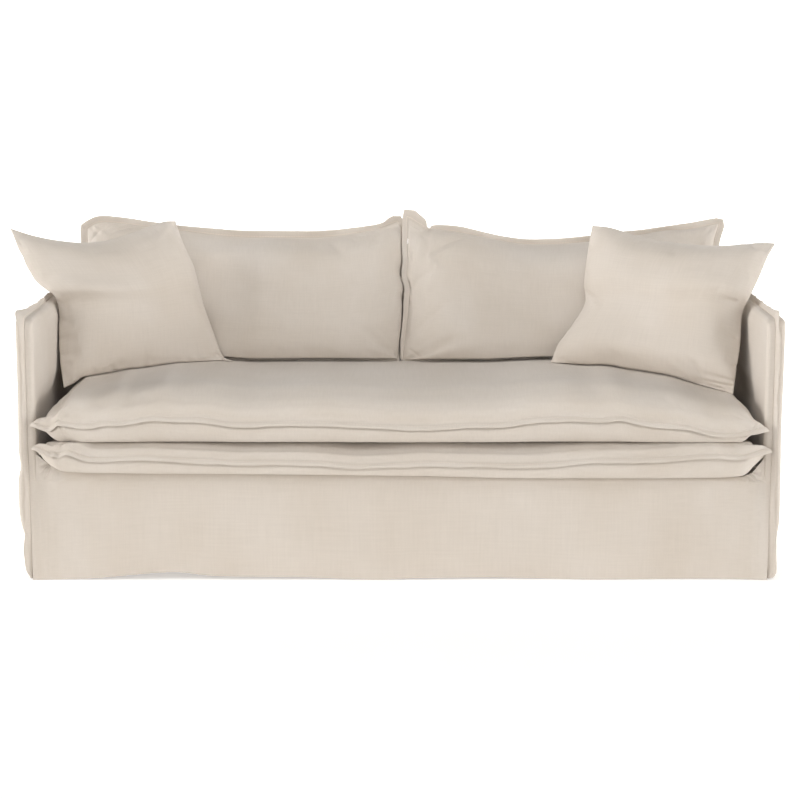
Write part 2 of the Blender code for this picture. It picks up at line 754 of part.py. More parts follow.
SCATTER_RIGHT = {
    "low": (
        (0.00, 0.414, 0.477, 0.483),
        (0.18, 0.503, 0.430, 0.485),
        (0.38, 0.610, 0.380, 0.484),
        (0.60, 0.713, 0.310, 0.478),
        (0.82, 0.813, 0.235, 0.474),
        (1.00, 0.889, 0.170, 0.463),
    ),
    "right": (
        (0.00, 0.889, 0.170, 0.463),
        (0.13, 0.898, 0.190, 0.519),
        (0.30, 0.909, 0.220, 0.588),
        (0.48, 0.917, 0.250, 0.666),
        (0.61, 0.943, 0.275, 0.714),
        (0.77, 0.974, 0.310, 0.768),
        (0.89, 0.996, 0.335, 0.812),
        (1.00, 1.021, 0.360, 0.849),
    ),
    "high": (
        (0.00, 0.544, 0.620, 0.873),
        (0.11, 0.595, 0.595, 0.869),
        (0.28, 0.676, 0.550, 0.848),
        (0.50, 0.782, 0.490, 0.835),
        (0.70, 0.875, 0.435, 0.835),
        (0.83, 0.937, 0.400, 0.842),
        (0.94, 0.987, 0.370, 0.850),
        (1.00, 1.021, 0.360, 0.849),
    ),
    "left": (
        (0.00, 0.414, 0.477, 0.483),
        (0.17, 0.442, 0.500, 0.548),
        (0.33, 0.483, 0.530, 0.601),
        (0.49, 0.521, 0.550, 0.661),
        (0.61, 0.518, 0.570, 0.710),
        (0.84, 0.531, 0.600, 0.806),
        (1.00, 0.544, 0.620, 0.873),
    ),
}


def scatter_settle(x, y, z, side):
    """A scatter cushion stands on the seat, inside the arm below its top and over the arm above it."""
    z = max(z, seat_height(x, y) - 0.0002)
    if abs(x) > 0.940 and z < 0.715:
        if 0.715 - z < abs(x) - 0.940:
            z = 0.715
        else:
            x = math.copysign(0.940, x)
    return x, y, z


def scatter_cushions():
    def depths(u, v):
        return 0.078 + 0.003 * math.sin(6 * u + 4 * v), 0.062

    firm = (2.6, 2.6, 0.62)
    left_up = unit((0.534, -0.750, 0.390))
    cushion("scatter_cushion_left", SCATTER_LEFT, 14, 14, left_up, depths, firm, scatter_settle)
    right_up = unit((-0.463, -0.747, 0.477))
    cushion("scatter_cushion_right", SCATTER_RIGHT, 14, 14, right_up, depths, firm, scatter_settle)


bpy.ops.wm.read_factory_settings(use_empty=True)
arm_panels(-1, "left")
arm_panels(1, "right")
arm_flange(-1, "left", LEFT_FLANGE)
arm_flange(1, "right", RIGHT_FLANGE)
front_skirt()
deck()
back_panels()
back_flange()
seat_cushions()
back_cushions()
scatter_cushions()
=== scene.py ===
"""The loose linen covers of a slim-armed sofa, dressed over their CAD frame: the fitted frame cover
with its skirt to the floor, and the covered seat, back and scatter cushions that lie in it."""

import math

import bmesh
import bpy
import numpy as np
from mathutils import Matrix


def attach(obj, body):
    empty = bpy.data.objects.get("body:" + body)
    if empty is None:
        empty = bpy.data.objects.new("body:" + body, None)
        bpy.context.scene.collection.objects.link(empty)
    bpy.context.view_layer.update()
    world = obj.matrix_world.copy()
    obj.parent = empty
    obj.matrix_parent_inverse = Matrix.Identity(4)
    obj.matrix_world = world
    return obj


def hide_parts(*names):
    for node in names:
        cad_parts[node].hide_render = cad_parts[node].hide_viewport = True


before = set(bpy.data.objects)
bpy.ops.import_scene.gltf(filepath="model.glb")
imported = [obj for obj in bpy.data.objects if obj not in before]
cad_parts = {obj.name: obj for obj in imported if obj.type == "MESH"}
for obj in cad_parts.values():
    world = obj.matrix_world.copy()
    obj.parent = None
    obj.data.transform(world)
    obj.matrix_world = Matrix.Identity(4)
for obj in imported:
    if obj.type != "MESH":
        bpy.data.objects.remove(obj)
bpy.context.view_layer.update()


# ---- Studio ----------------------------------------------------------------------------------
# A white floor inside a round white wall, which both glow a little. Soft lights stand behind the
# camera and hang over it and over the seat, and one far off on each side lights the inside of the arm
# across from it. The camera stands 6 m in front, 1.5 m over the floor, and looks a little down.
FLOOR_HEIGHT = -0.274
MIDDLE_Y = 0.45
CAMERA_DISTANCE = 6.0
CAMERA_HEIGHT = 1.496
CAMERA_DOWN = math.radians(9.63)
CAMERA_LENS = 105.5
SOFT_LIGHTS = (  # name, x, y and z of its middle, width, height, power
    ("Front", 0.0, -7.0, 1.7, 3.0, 1.5, 22.0),
    ("Over_camera", 0.0, -4.0, 4.2, 3.0, 2.0, 44.0),
    ("Over_seat", 0.0, -0.6, 4.4, 3.0, 2.0, 40.0),
    ("Far_left", -12.0, -1.4, 3.6, 4.5, 4.5, 740.0),
    ("Far_right", 12.0, -2.2, 2.4, 4.5, 4.5, 570.0),
    ("Left_key", -3.0, -4.5, 3.0, 2.0, 2.0, 8.0),
)


def srgb(code):
    """The linear colour of an sRGB hex value."""
    parts = [int(code[k:k + 2], 16) / 255 for k in (1, 3, 5)]
    return [p / 12.92 if p <= 0.04045 else ((p + 0.055) / 1.055) ** 2.4 for p in parts] + [1.0]


def add(tree, kind, sockets=(), **settings):
    """Adds a node with its settings; a socket takes a value or a link from another node's output."""
    made = tree.nodes.new(kind)
    for name, value in settings.items():
        setattr(made, name, value)
    for socket, value in dict(sockets).items():
        if isinstance(value, bpy.types.NodeSocket):
            tree.links.new(value, made.inputs[socket])
        else:
            made.inputs[socket].default_value = value
    return made


bpy.ops.object.camera_add(
    location=(0.0, -CAMERA_DISTANCE - MIDDLE_Y, CAMERA_HEIGHT + FLOOR_HEIGHT),
    rotation=(math.pi / 2 - CAMERA_DOWN, 0.0, 0.0),
)
camera = bpy.context.object
camera.data.lens = CAMERA_LENS
bpy.context.scene.camera = camera

for light_name, x, y, z, width, height, power in SOFT_LIGHTS:
    bpy.ops.object.light_add(type="AREA", location=(x, y, z))
    light = bpy.context.object
    light.name = light_name
    light.data.shape = "RECTANGLE"
    light.data.size, light.data.size_y, light.data.energy = width, height, power
    aim = (-x, -y, 0.1 - z)
    light.rotation_euler = (math.atan2(math.hypot(aim[0], aim[1]), -aim[2]), 0.0, math.atan2(-aim[0], aim[1]))

world = bpy.data.worlds.new("Room")
world.use_nodes = True
world.node_tree.nodes["Background"].inputs["Color"].default_value = srgb("#ffffff")
world.node_tree.nodes["Background"].inputs["Strength"].default_value = 0.10
bpy.context.scene.world = world
bpy.context.scene.view_settings.view_transform = "Standard"


def backdrop(piece, name, glow, far_glow):
    """Plain white paper, matt all over, that glows a little, and more and more towards 2 m behind."""
    piece.name = name
    paper = bpy.data.materials.new("white paper, " + name)
    paper.use_nodes = True
    paper.node_tree.nodes.clear()
    place = add(paper.node_tree, "ShaderNodeTexCoord").outputs["Object"]
    depth = add(paper.node_tree, "ShaderNodeSeparateXYZ", {"Vector": place}).outputs["Y"]
    strength = add(paper.node_tree, "ShaderNodeMapRange", {
        "Value": depth, "From Min": -1.0, "From Max": 2.0, "To Min": glow, "To Max": far_glow
    })
    shader = add(paper.node_tree, "ShaderNodeBsdfPrincipled", {
        "Base Color": srgb("#f4f3f1"),
        "Roughness": 0.9,
        "Emission Color": srgb("#ffffff"),
        "Emission Strength": strength.outputs[0],
    })
    add(paper.node_tree, "ShaderNodeOutputMaterial", {"Surface": shader.outputs["BSDF"]})
    piece.data.materials.append(paper)


bpy.ops.object.select_all(action="DESELECT")
bpy.ops.mesh.primitive_plane_add(size=33.0, location=(0.0, 0.0, FLOOR_HEIGHT - 0.0006))
backdrop(bpy.context.object, "floor", 0.25, 0.80)
bpy.ops.mesh.primitive_cylinder_add(
    vertices=96, radius=16.0, depth=8.0, end_fill_type="NOTHING", location=(0.0, 0.0, FLOOR_HEIGHT + 4.0)
)
backdrop(bpy.context.object, "wall", 0.5, 0.9)


# ---- Front skirt -----------------------------------------------------------------------------
# One straight panel of washed linen, sewn under the edge of the seat and left to hang to the floor.
# It hangs almost plain: long shallow waves, a hem that lifts and dips by a centimetre, and short
# pull creases in its two top corners, where the arm covers draw it in.
CLOTH = 0.002
SEAM_X = 0.9715
SEAM_GAP = 0.0005
FLANGE = 0.0026
SKIRT_TOP = 0.262
HEM = (  # along the width: height over the floor, and how far it stands out of plumb
    (-0.970, 0.0005, 0.009),
    (-0.890, 0.0010, 0.005),
    (-0.790, 0.0050, 0.004),
    (-0.640, 0.0160, -0.004),
    (-0.580, 0.0170, -0.006),
    (-0.490, 0.0090, 0.000),
    (-0.250, 0.0060, 0.003),
    (-0.060, 0.0005, 0.008),
    (0.030, 0.0040, 0.006),
    (0.250, 0.0045, -0.002),
    (0.420, 0.0015, 0.001),
    (0.500, 0.0005, 0.006),
    (0.720, 0.0020, 0.002),
    (0.840, 0.0020, 0.002),
    (0.970, 0.0005, 0.010),
)


def clamp(value):
    """The value, but never less than 0 or more than 1."""
    return min(1.0, max(0.0, value))


def curve(table, at):
    """The columns after the first, smoothly between the rows of a short table, at a value of the first."""
    if at <= table[0][0]:
        return list(table[0][1:])
    if at >= table[-1][0]:
        return list(table[-1][1:])
    i = max(k for k in range(len(table) - 1) if table[k][0] <= at)
    a, b = table[i], table[i + 1]
    before, after = table[max(i - 1, 0)], table[min(i + 2, len(table) - 1)]
    step = b[0] - a[0]
    t = (at - a[0]) / step
    found = []
    for k in range(1, len(a)):
        slope_a = (b[k] - before[k]) / (b[0] - before[0]) * step
        slope_b = (after[k] - a[k]) / (after[0] - a[0]) * step
        found.append(
            (2 * t**3 - 3 * t**2 + 1) * a[k]
            + (t**3 - 2 * t**2 + t) * slope_a
            + (3 * t**2 - 2 * t**3) * b[k]
            + (t**3 - t**2) * slope_b
        )
    return found


def stations(count, crowding):
    """Values from 0 to 1, closer together near both ends where crowding is more than 0."""
    return [
        i / count - crowding * math.sin(2 * math.pi * i / count) / (2 * math.pi)
        for i in range(count + 1)
    ]


def crowded(count, power):
    """Values from 0 to 1 that crowd at both ends, for a panel that drops steeply from its seams."""
    shares = [i / count for i in range(count + 1)]
    return [t**power / (t**power + (1 - t)**power) for t in shares]


def cloth_panel(name, rows, cut):
    """A panel cut width by length in metres: a flat grid whose points are moved to where it hangs."""
    across, along = len(rows[0]) - 1, len(rows) - 1
    bpy.ops.object.select_all(action="DESELECT")
    bpy.ops.mesh.primitive_grid_add(x_subdivisions=across, y_subdivisions=along, size=2.0)
    panel = bpy.context.object
    panel.name = panel.data.name = name
    for point in panel.data.vertices:
        i = round((point.co.x + 1) / 2 * across)
        j = round((point.co.y + 1) / 2 * along)
        x, y, z = rows[j][i]
        point.co = (x, y - MIDDLE_Y, z + FLOOR_HEIGHT)
    for spot in panel.data.uv_layers.active.data:
        spot.uv = (spot.uv.x * cut[0], spot.uv.y * cut[1])
    return panel


def faces_out(piece, towards):
    """Turns an open panel so that its first side faces the given way."""
    total = np.zeros(3)
    for face in piece.data.polygons:
        total += np.array(face.normal) * face.area
    if total @ np.array(towards) < 0:
        piece.data.flip_normals()


def apply_all(piece):
    """Applies every modifier of a piece, in order."""
    bpy.ops.object.select_all(action="DESELECT")
    piece.select_set(True)
    bpy.context.view_layer.objects.active = piece
    for modifier in list(piece.modifiers):
        bpy.ops.object.modifier_apply(modifier=modifier.name)


def thicken(piece, thickness):
    """Gives a panel the thickness of its cloth, on the inner side, and smooths all but its cut edges."""
    solid = piece.modifiers.new("Thickness", "SOLIDIFY")
    solid.thickness, solid.offset = thickness, -1
    apply_all(piece)
    bpy.ops.object.shade_smooth_by_angle(angle=math.radians(50))


def press_folds(piece, folds):
    """Soft creases in what faces the front, from start to end point: deepest at the start, and as wide
    and as deep as each row says. A negative depth raises a ridge."""
    mesh = piece.data
    places = np.empty(len(mesh.vertices) * 3)
    normals = np.empty(len(mesh.vertices) * 3)
    mesh.vertices.foreach_get("co", places)
    mesh.vertices.foreach_get("normal", normals)
    places, normals = places.reshape(-1, 3), normals.reshape(-1, 3)
    moved = np.zeros(len(places))
    for x0, z0, x1, z1, half_width, depth in folds:
        start = np.array((x0, z0 + FLOOR_HEIGHT))
        line = np.array((x1 - x0, z1 - z0))
        seen = places[:, (0, 2)]
        share = np.clip((seen - start) @ line / (line @ line), 0.0, 1.0)
        away = np.linalg.norm(seen - start - share[:, None] * line, axis=1)
        wide = half_width * (0.5 + 0.5 * share)
        moved += depth * np.exp(-((away / wide) ** 2)) * np.sqrt(1 - share * 0.999)
    moved *= np.clip(-normals[:, 1] * 2, 0.0, 1.0)
    mesh.vertices.foreach_set("co", (places - normals * moved[:, None]).ravel())
    mesh.update()


def linen(name, stitch_at=None):
    """Washed linen, plain weave: a matt, slightly hairy cloth with thick and thin yarns. Real yarns lie
    0.5 mm apart, too fine to show here, so the weave is drawn at 2 mm and its slubs at 3 by 60 mm. The
    pattern follows the piece's own map, in metres of cloth. A sewn strip shows its row of stitches."""
    finish = bpy.data.materials.new(name)
    finish.use_nodes = True
    tree = finish.node_tree
    tree.nodes.clear()
    cloth = add(tree, "ShaderNodeUVMap", uv_map="UVMap").outputs["UV"]

    def noise(size_x, size_y, detail):
        place = add(tree, "ShaderNodeMapping", {"Vector": cloth, "Scale": (1 / size_x, 1 / size_y, 1.0)})
        made = add(tree, "ShaderNodeTexNoise", {
            "Vector": place.outputs["Vector"], "Scale": 1.0, "Detail": detail, "Roughness": 0.55
        })
        return made.outputs["Fac"]

    def mixed(operation, a, b):
        return add(tree, "ShaderNodeMath", {0: a, 1: b}, operation=operation).outputs[0]

    yarn, one_band = 0.002, 0.314  # a band's length in the wave pattern at a scale of 1
    warp_slubs = noise(0.003, 0.060, 2.0)
    weft_slubs = noise(0.070, 0.003, 2.0)
    slubs = mixed("ADD", warp_slubs, weft_slubs)
    yarns = []
    for direction in ("X", "Y"):
        yarns.append(add(tree, "ShaderNodeTexWave", {
            "Vector": cloth, "Scale": one_band / yarn, "Distortion": 1.5, "Detail": 1.0, "Detail Scale": 0.6
        }, wave_type="BANDS", bands_direction=direction).outputs["Fac"])
    weave = mixed("MULTIPLY", yarns[0], yarns[1])
    clouds = noise(0.22, 0.30, 3.0)
    crumples = noise(0.055, 0.075, 4.0)

    slub_range = add(tree, "ShaderNodeMapRange", {"Value": slubs, "From Min": 0.72, "From Max": 1.28})
    pale = add(tree, "ShaderNodeMix", {
        0: slub_range.outputs[0], 6: srgb("#cac1b7"), 7: srgb("#cfc6bc")
    }, data_type="RGBA")
    cloud_range = add(tree, "ShaderNodeMapRange", {"Value": clouds, "From Min": 0.35, "From Max": 0.65})
    tone = add(tree, "ShaderNodeMix", {
        0: cloud_range.outputs[0], 6: srgb("#f8f6f3"), 7: srgb("#ffffff")
    }, data_type="RGBA")
    colour = add(tree, "ShaderNodeMix", {
        0: 1.0, 6: pale.outputs[2], 7: tone.outputs[2]
    }, data_type="RGBA", blend_type="MULTIPLY").outputs[2]

    height = add(tree, "ShaderNodeBump", {"Height": weave, "Strength": 0.2, "Distance": 0.0002})
    height = add(tree, "ShaderNodeBump", {
        "Height": slubs, "Strength": 0.15, "Distance": 0.0004, "Normal": height.outputs["Normal"]
    })
    height = add(tree, "ShaderNodeBump", {
        "Height": crumples, "Strength": 0.4, "Distance": 0.003, "Normal": height.outputs["Normal"]
    })
    if stitch_at:
        parts = add(tree, "ShaderNodeSeparateXYZ", {"Vector": cloth})
        near = None
        for line in stitch_at:
            off = mixed("ABSOLUTE", mixed("SUBTRACT", parts.outputs["X"], line), 0.0)
            on_line = mixed("LESS_THAN", off, 0.0006)
            near = on_line if near is None else mixed("MAXIMUM", near, on_line)
        beat = mixed("FRACT", mixed("DIVIDE", parts.outputs["Y"], 0.0045), 0.0)
        stitch = mixed("MULTIPLY", near, mixed("LESS_THAN", beat, 0.75))
        height = add(tree, "ShaderNodeBump", {
            "Height": stitch, "Strength": 0.6, "Distance": 0.0006, "Normal": height.outputs["Normal"]
        })
        colour = add(tree, "ShaderNodeMix", {
            0: stitch, 6: colour, 7: srgb("#d9cdbf")
        }, data_type="RGBA").outputs[2]
    shader = add(tree, "ShaderNodeBsdfPrincipled", {
        "Base Color": colour,
        "Roughness": 0.88,
        "IOR": 1.45,
        "Sheen Weight": 0.15,
        "Sheen Roughness": 0.5,
        "Normal": height.outputs["Normal"],
    })
    add(tree, "ShaderNodeOutputMaterial", {"Surface": shader.outputs["BSDF"]})
    return finish


washed_linen = linen("washed linen, plain weave")


def finish_sheet(piece, node, cut, held, **more):
    """Dresses a sheet of linen that stands for a CAD node."""
    piece.data.materials.clear()
    piece.data.materials.append(more.pop("finish", washed_linen))
    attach(piece, "root")
    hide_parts(node)


def seam_sway(z):
    """How far the arm's front seam drifts inwards towards the floor."""
    return 0.006 * max(0.0, 1 - z / 0.5) ** 1.3


def skirt_place(x, z):
    """Where the skirt stands from front to back, at a place on it, and how far its cloth is lifted."""
    lift, out = curve(HEM, x)
    low = max(0.0, 1 - z / SKIRT_TOP)
    side = clamp((abs(x) - 0.90) / 0.065)
    y = -out * low**1.5 - 0.0025 * math.sin(17 * x + 3 * z) * math.sin(math.pi * low) * (1 - side)
    y -= 0.0012 * math.sin(43 * x + 5 * z + 1) * math.sin(math.pi * low) * low * (1 - side)
    tuck = math.exp(-((abs(x) - 0.952) / 0.02) ** 2) * math.exp(-((SKIRT_TOP - z) / 0.03) ** 2)
    return y + 0.004 * tuck, lift * low


RAIL = (  # along the width: how high the skirt reaches, over the front rail and beside the lower cushion
    (-0.960, 0.3380),
    (-0.945, 0.3330),
    (-0.938, 0.3270),
    (-0.928, 0.3180),
    (-0.912, 0.3067),
    (-0.878, 0.2931),
    (-0.720, 0.2899),
    (-0.520, 0.2880),
    (-0.250, 0.2857),
    (0.055, 0.2823),
    (0.140, 0.2800),
    (0.284, 0.2765),
    (0.600, 0.2762),
    (0.890, 0.2767),
    (0.920, 0.2870),
    (0.933, 0.3030),
    (0.946, 0.3190),
    (0.954, 0.3300),
)
SKIRT_EDGE = SEAM_X - FLANGE / 2 - SEAM_GAP
CORNER_EDGE = 0.9500
ACROSS = stations(220, 0.85)
RAIL_ROWS = 16
RAIL_ROLL = 0.010
RAIL_START = SKIRT_TOP + 0.0006
RAIL_UNDER = 0.0012  # how far below its top edge the cloth's last row lies
CORNER_Y = 0.0012  # where its raised corners stand from front to back
skirt_rows = []
for height_share in stations(34, 0.6):
    z = SKIRT_TOP * height_share
    row = []
    for share in ACROSS:
        x = -SKIRT_EDGE + 2 * SKIRT_EDGE * share
        y, lift = skirt_place(x, z)
        drawn = abs(x) - seam_sway(z) * max(0.0, (abs(x) - 0.75) / (SKIRT_EDGE - 0.75))
        row.append((math.copysign(drawn, x), y, z + lift))
    skirt_rows.append(row)
for k in range(1, RAIL_ROWS + 1):  # over the front rail, and up beside the ends of the lower cushion
    climb = k / RAIL_ROWS
    angle = climb * math.pi / 2
    row = []
    for share in ACROSS:
        x = (-SKIRT_EDGE + 2 * SKIRT_EDGE * share) * CORNER_EDGE / SKIRT_EDGE
        rise = curve(RAIL, x)[0] - RAIL_UNDER - RAIL_START
        roll = clamp((0.910 - abs(x)) / 0.02)
        aside = clamp((abs(x) - 0.925) / 0.02) * min(1.0, 4 * climb)
        y, _ = skirt_place(x, SKIRT_TOP)
        y += RAIL_ROLL * (1 - math.cos(angle)) * roll + 0.002 * min(1.0, 2 * climb)
        y = y * (1 - aside) + CORNER_Y * aside
        row.append((x, y, RAIL_START + rise * (roll * math.sin(angle) + (1 - roll) * climb)))
    skirt_rows.append(row)
skirt = cloth_panel("skirt", skirt_rows, (1.94, 0.29))
faces_out(skirt, (0, -1, 0))
press_folds(skirt, (  # start, end, half width, depth: the pull creases in the top corners
    (-0.913, 0.309, -0.944, 0.302, 0.0036, 0.0050),
    (-0.914, 0.306, -0.945, 0.291, 0.0030, -0.0034),
    (-0.914, 0.303, -0.944, 0.282, 0.0036, 0.0046),
    (-0.913, 0.300, -0.938, 0.272, 0.0032, -0.0030),
    (-0.911, 0.298, -0.930, 0.267, 0.0040, 0.0036),
    (-0.903, 0.294, -0.913, 0.262, 0.0050, 0.0022),
    (-0.890, 0.291, -0.893, 0.260, 0.0060, 0.0015),
    (0.914, 0.290, 0.942, 0.283, 0.0040, 0.0042),
    (0.914, 0.286, 0.944, 0.270, 0.0030, -0.0030),
    (0.913, 0.283, 0.940, 0.262, 0.0038, 0.0042),
    (0.911, 0.280, 0.932, 0.254, 0.0030, -0.0026),
    (0.908, 0.278, 0.922, 0.248, 0.0038, 0.0034),
    (0.900, 0.276, 0.908, 0.246, 0.0045, 0.0022),
    (0.888, 0.275, 0.890, 0.248, 0.0060, 0.0015),
))
thicken(skirt, CLOTH)
finish_sheet(skirt, "front_skirt", (1.94, 0.285), "hung")


# ---- Seat deck -------------------------------------------------------------------------------
# The plain linen panel under the seat cushions. It is sewn to the skirt just behind the front rail,
# out of sight; the cushions press it flat.
DECK_TOP = 0.276
INNER_X = 0.9485
BACK_INNER_Y = 0.868
DECK_FRONT_Y = 0.0145
DECK_LENGTH = BACK_INNER_Y - CLOTH - 0.0165  # it ends 4 mm short of the inside back

deck_edge = INNER_X - 0.0025 - CLOTH
deck_rows = []
for y in [DECK_FRONT_Y + DECK_LENGTH * k / 40 for k in range(41)]:
    height = DECK_TOP - 0.003 * math.exp(-((y - DECK_FRONT_Y) / 0.004) ** 2)
    deck_rows.append([(-deck_edge + 2 * deck_edge * share, y, height) for share in stations(90, 0.0)])
deck = cloth_panel("deck_panel", deck_rows, (1.89, 0.85))
faces_out(deck, (0, 0, 1))
thicken(deck, CLOTH)
finish_sheet(deck, "deck", (1.89, 0.85), "stretched", rests_on=["front_skirt"])


# ---- Arm covers ------------------------------------------------------------------------------
# Each slim arm is dressed in two linen panels that meet in a seam up the middle of its front and back
# along its top: one inside, down to the seat, and one outside, down to the floor. They hang loosely
# over the frame, so the edges are soft and the outer panel bulges and tucks in near the floor.
HALF_WIDTH = 0.995
ARM_TOP = 0.690
ARM_ROUND = 0.011
BACK_SEAM_Y = 0.899
LEFT_EDGE = (  # height, and how far the outer front edge is drawn in there
    (0.000, 0.020),
    (0.035, 0.018),
    (0.080, 0.017),
    (0.110, 0.013),
    (0.135, 0.005),
    (0.160, 0.000),
    (0.200, -0.003),
    (0.270, -0.002),
    (0.300, 0.004),
    (0.340, 0.000),
    (0.500, 0.001),
    (0.700, 0.000),
)
RIGHT_EDGE = (
    (0.000, 0.013),
    (0.012, 0.004),
    (0.060, 0.005),
    (0.110, 0.006),
    (0.150, 0.001),
    (0.220, 0.000),
    (0.420, 0.001),
    (0.560, -0.001),
    (0.700, -0.002),
)


def arm_padding(y, z):
    """How far the arm's soft inside stands in between the seat and its top, behind its front edge."""
    along = math.exp(-(((y - 0.36) / 0.26) ** 2)) * clamp(y / 0.10)
    return 0.012 * along * clamp((z - 0.455) / 0.05) * clamp((0.688 - z) / 0.03)


def arm_place(side, x, y, z):
    """The uneven hang of an arm's cloth, given a point of the straight arm on the side of +1 or -1."""
    edge = curve(LEFT_EDGE if side < 0 else RIGHT_EDGE, z)[0]
    at_front = math.exp(-(y / 0.16) ** 2)
    free = abs(x - SEAM_X) - FLANGE
    outer = clamp(free / 0.019) if x > SEAM_X else 0.0
    inner = clamp(free / 0.019) if x < SEAM_X else 0.0
    low = max(0.0, 1 - z / ARM_TOP)
    swell = 0.004 * low * math.sin(7.3 * y + 1.1 * side) + 0.002 * math.sin(11 * y + 9 * z + side)
    x -= seam_sway(z) * at_front * (1 - outer)
    x -= edge * at_front * outer
    x += swell * (1 - at_front) * outer
    x += 0.0015 * math.sin(9 * y + 7 * z) * inner * (1 - at_front)
    x -= arm_padding(y, z) * inner
    corner = 0.028
    back, down = min(y, corner) / corner, min(ARM_TOP - z, corner) / corner
    if y < corner and ARM_TOP - z < corner:
        a, b = 1 - back, 1 - down
        y = corner * (1 - a * math.sqrt(1 - b * b / 2))
        z = ARM_TOP - corner * (1 - b * math.sqrt(1 - a * a / 2))
    sag = 0.003 * math.sin(math.pi * min(1.0, y / 0.86)) ** 2
    return side * x, y, z - sag * clamp((z - 0.5) / 0.18)


def between(start, end, count):
    return [start + (end - start) * i / (count - 1) for i in range(count)]


def wrapped(path, heights, top, rounding):
    """Rows of a panel that hangs from a seam: each column of the path has its place on the face and
    its place on the seam; the rows run up the face, round the edge and in to the seam."""
    def row_at(z, share_in):
        row = []
        for x, y, seam_x, seam_y in path:
            share = share_in(max(math.hypot(seam_x - x, seam_y - y), 1e-6))
            row.append((x + (seam_x - x) * share, y + (seam_y - y) * share, z))
        return row

    rows = [row_at(z, lambda reach: 0.0) for z in heights]
    for a in between(0, math.pi / 2, 7):
        inset = rounding - rounding * math.cos(a)
        rows.append(row_at(top - rounding + rounding * math.sin(a), lambda reach: min(1.0, inset / reach)))
    rows.append(row_at(top, lambda reach: max(0.6, min(1.0, rounding / reach))))
    return rows + [row_at(top, lambda reach: 1.0)]


def arm_path(seam_x, corner_x, face_x, last):
    """Columns of an arm panel from the front seam round its front corner and back along its side."""
    outwards = 1 if face_x > corner_x else -1
    path = [(x, 0.0, seam_x, 0.0) for x in between(seam_x, corner_x, 5)]
    for a in between(0, math.pi / 2, 7)[1:]:
        x, y = corner_x + outwards * ARM_ROUND * math.sin(a), ARM_ROUND * (1 - math.cos(a))
        path.append((x, y, seam_x, y))
    path += [(face_x, y, seam_x, y) for y in between(ARM_ROUND + 0.012, 0.85, 72)]
    return path + [last]


outer_seam = SEAM_X + FLANGE / 2 + SEAM_GAP
inner_seam = SEAM_X - FLANGE / 2 - SEAM_GAP
for side, label in ((-1, "left"), (1, "right")):
    last = (HALF_WIDTH, BACK_SEAM_Y + FLANGE / 2 - 0.0001, outer_seam, BACK_SEAM_Y + FLANGE / 2 - 0.0001)
    path = arm_path(outer_seam, HALF_WIDTH - ARM_ROUND, HALF_WIDTH, last)
    rows = wrapped(path, between(0.0035, ARM_TOP - ARM_ROUND - 0.012, 56), ARM_TOP, ARM_ROUND)
    outside = cloth_panel("arm_outer_panel_" + label, [[arm_place(side, *p) for p in row] for row in rows],
                          (0.95, 0.71))
    faces_out(outside, (side, -0.2, 0))
    thicken(outside, CLOTH)
    finish_sheet(outside, "arm_outside_" + label, (0.95, 0.71), "hung")

    last = (INNER_X, BACK_INNER_Y - 0.001, inner_seam, BACK_SEAM_Y - FLANGE / 2 - 0.001)
    path = arm_path(inner_seam, INNER_X + ARM_ROUND, INNER_X, last)
    rows = wrapped(path, between(SKIRT_TOP + 0.0012, ARM_TOP - ARM_ROUND - 0.012, 36), ARM_TOP, ARM_ROUND)
    inside = cloth_panel("arm_inner_panel_" + label, [[arm_place(side, *p) for p in row] for row in rows],
                         (0.91, 0.45))
    faces_out(inside, (-side, -0.2, 0))
    thicken(inside, CLOTH)
    finish_sheet(inside, "arm_inside_" + label, (0.91, 0.45), "stretched")


# ---- Arm flanges -----------------------------------------------------------------------------
# A folded strip of the same linen, sewn into each arm's seam, so that it stands 15 mm proud. Washing
# has made it wavy. Up the front it leans to the outside, its top corner flops right over, and at the
# floor it lies flat.
LEFT_FLANGE = (  # length along the seam from the hem, how far it stands off it, its lean to the outside
    (0.00, 0.010, 0.003),
    (0.02, 0.008, 0.014),
    (0.05, 0.007, 0.018),
    (0.10, 0.007, 0.018),
    (0.14, 0.009, 0.014),
    (0.22, 0.011, 0.010),
    (0.32, 0.011, 0.010),
    (0.45, 0.011, 0.009),
    (0.58, 0.012, 0.008),
    (0.65, 0.013, 0.011),
    (0.70, 0.019, 0.022),
    (0.76, 0.016, 0.012),
    (0.90, 0.015, 0.003),
    (1.10, 0.014, 0.004),
    (1.60, 0.014, 0.000),
)
RIGHT_FLANGE = (
    (0.00, 0.011, 0.003),
    (0.02, 0.008, 0.014),
    (0.05, 0.007, 0.019),
    (0.10, 0.007, 0.020),
    (0.14, 0.008, 0.016),
    (0.20, 0.010, 0.011),
    (0.30, 0.011, 0.009),
    (0.42, 0.011, 0.009),
    (0.52, 0.012, 0.008),
    (0.58, 0.011, 0.012),
    (0.63, 0.010, 0.013),
    (0.67, 0.014, 0.004),
    (0.70, 0.019, 0.008),
    (0.78, 0.015, 0.004),
    (1.00, 0.014, 0.003),
    (1.60, 0.014, 0.000),
)
STRIP_CUT = 0.035  # how wide the strip is before it is folded
FLANGE_STITCH = (0.0035, 0.0315)


def unit(a):
    size = math.sqrt(sum(k * k for k in a))
    return [k / size for k in a]


def cross(a, b):
    return [a[1] * b[2] - a[2] * b[1], a[2] * b[0] - a[0] * b[2], a[0] * b[1] - a[1] * b[0]]


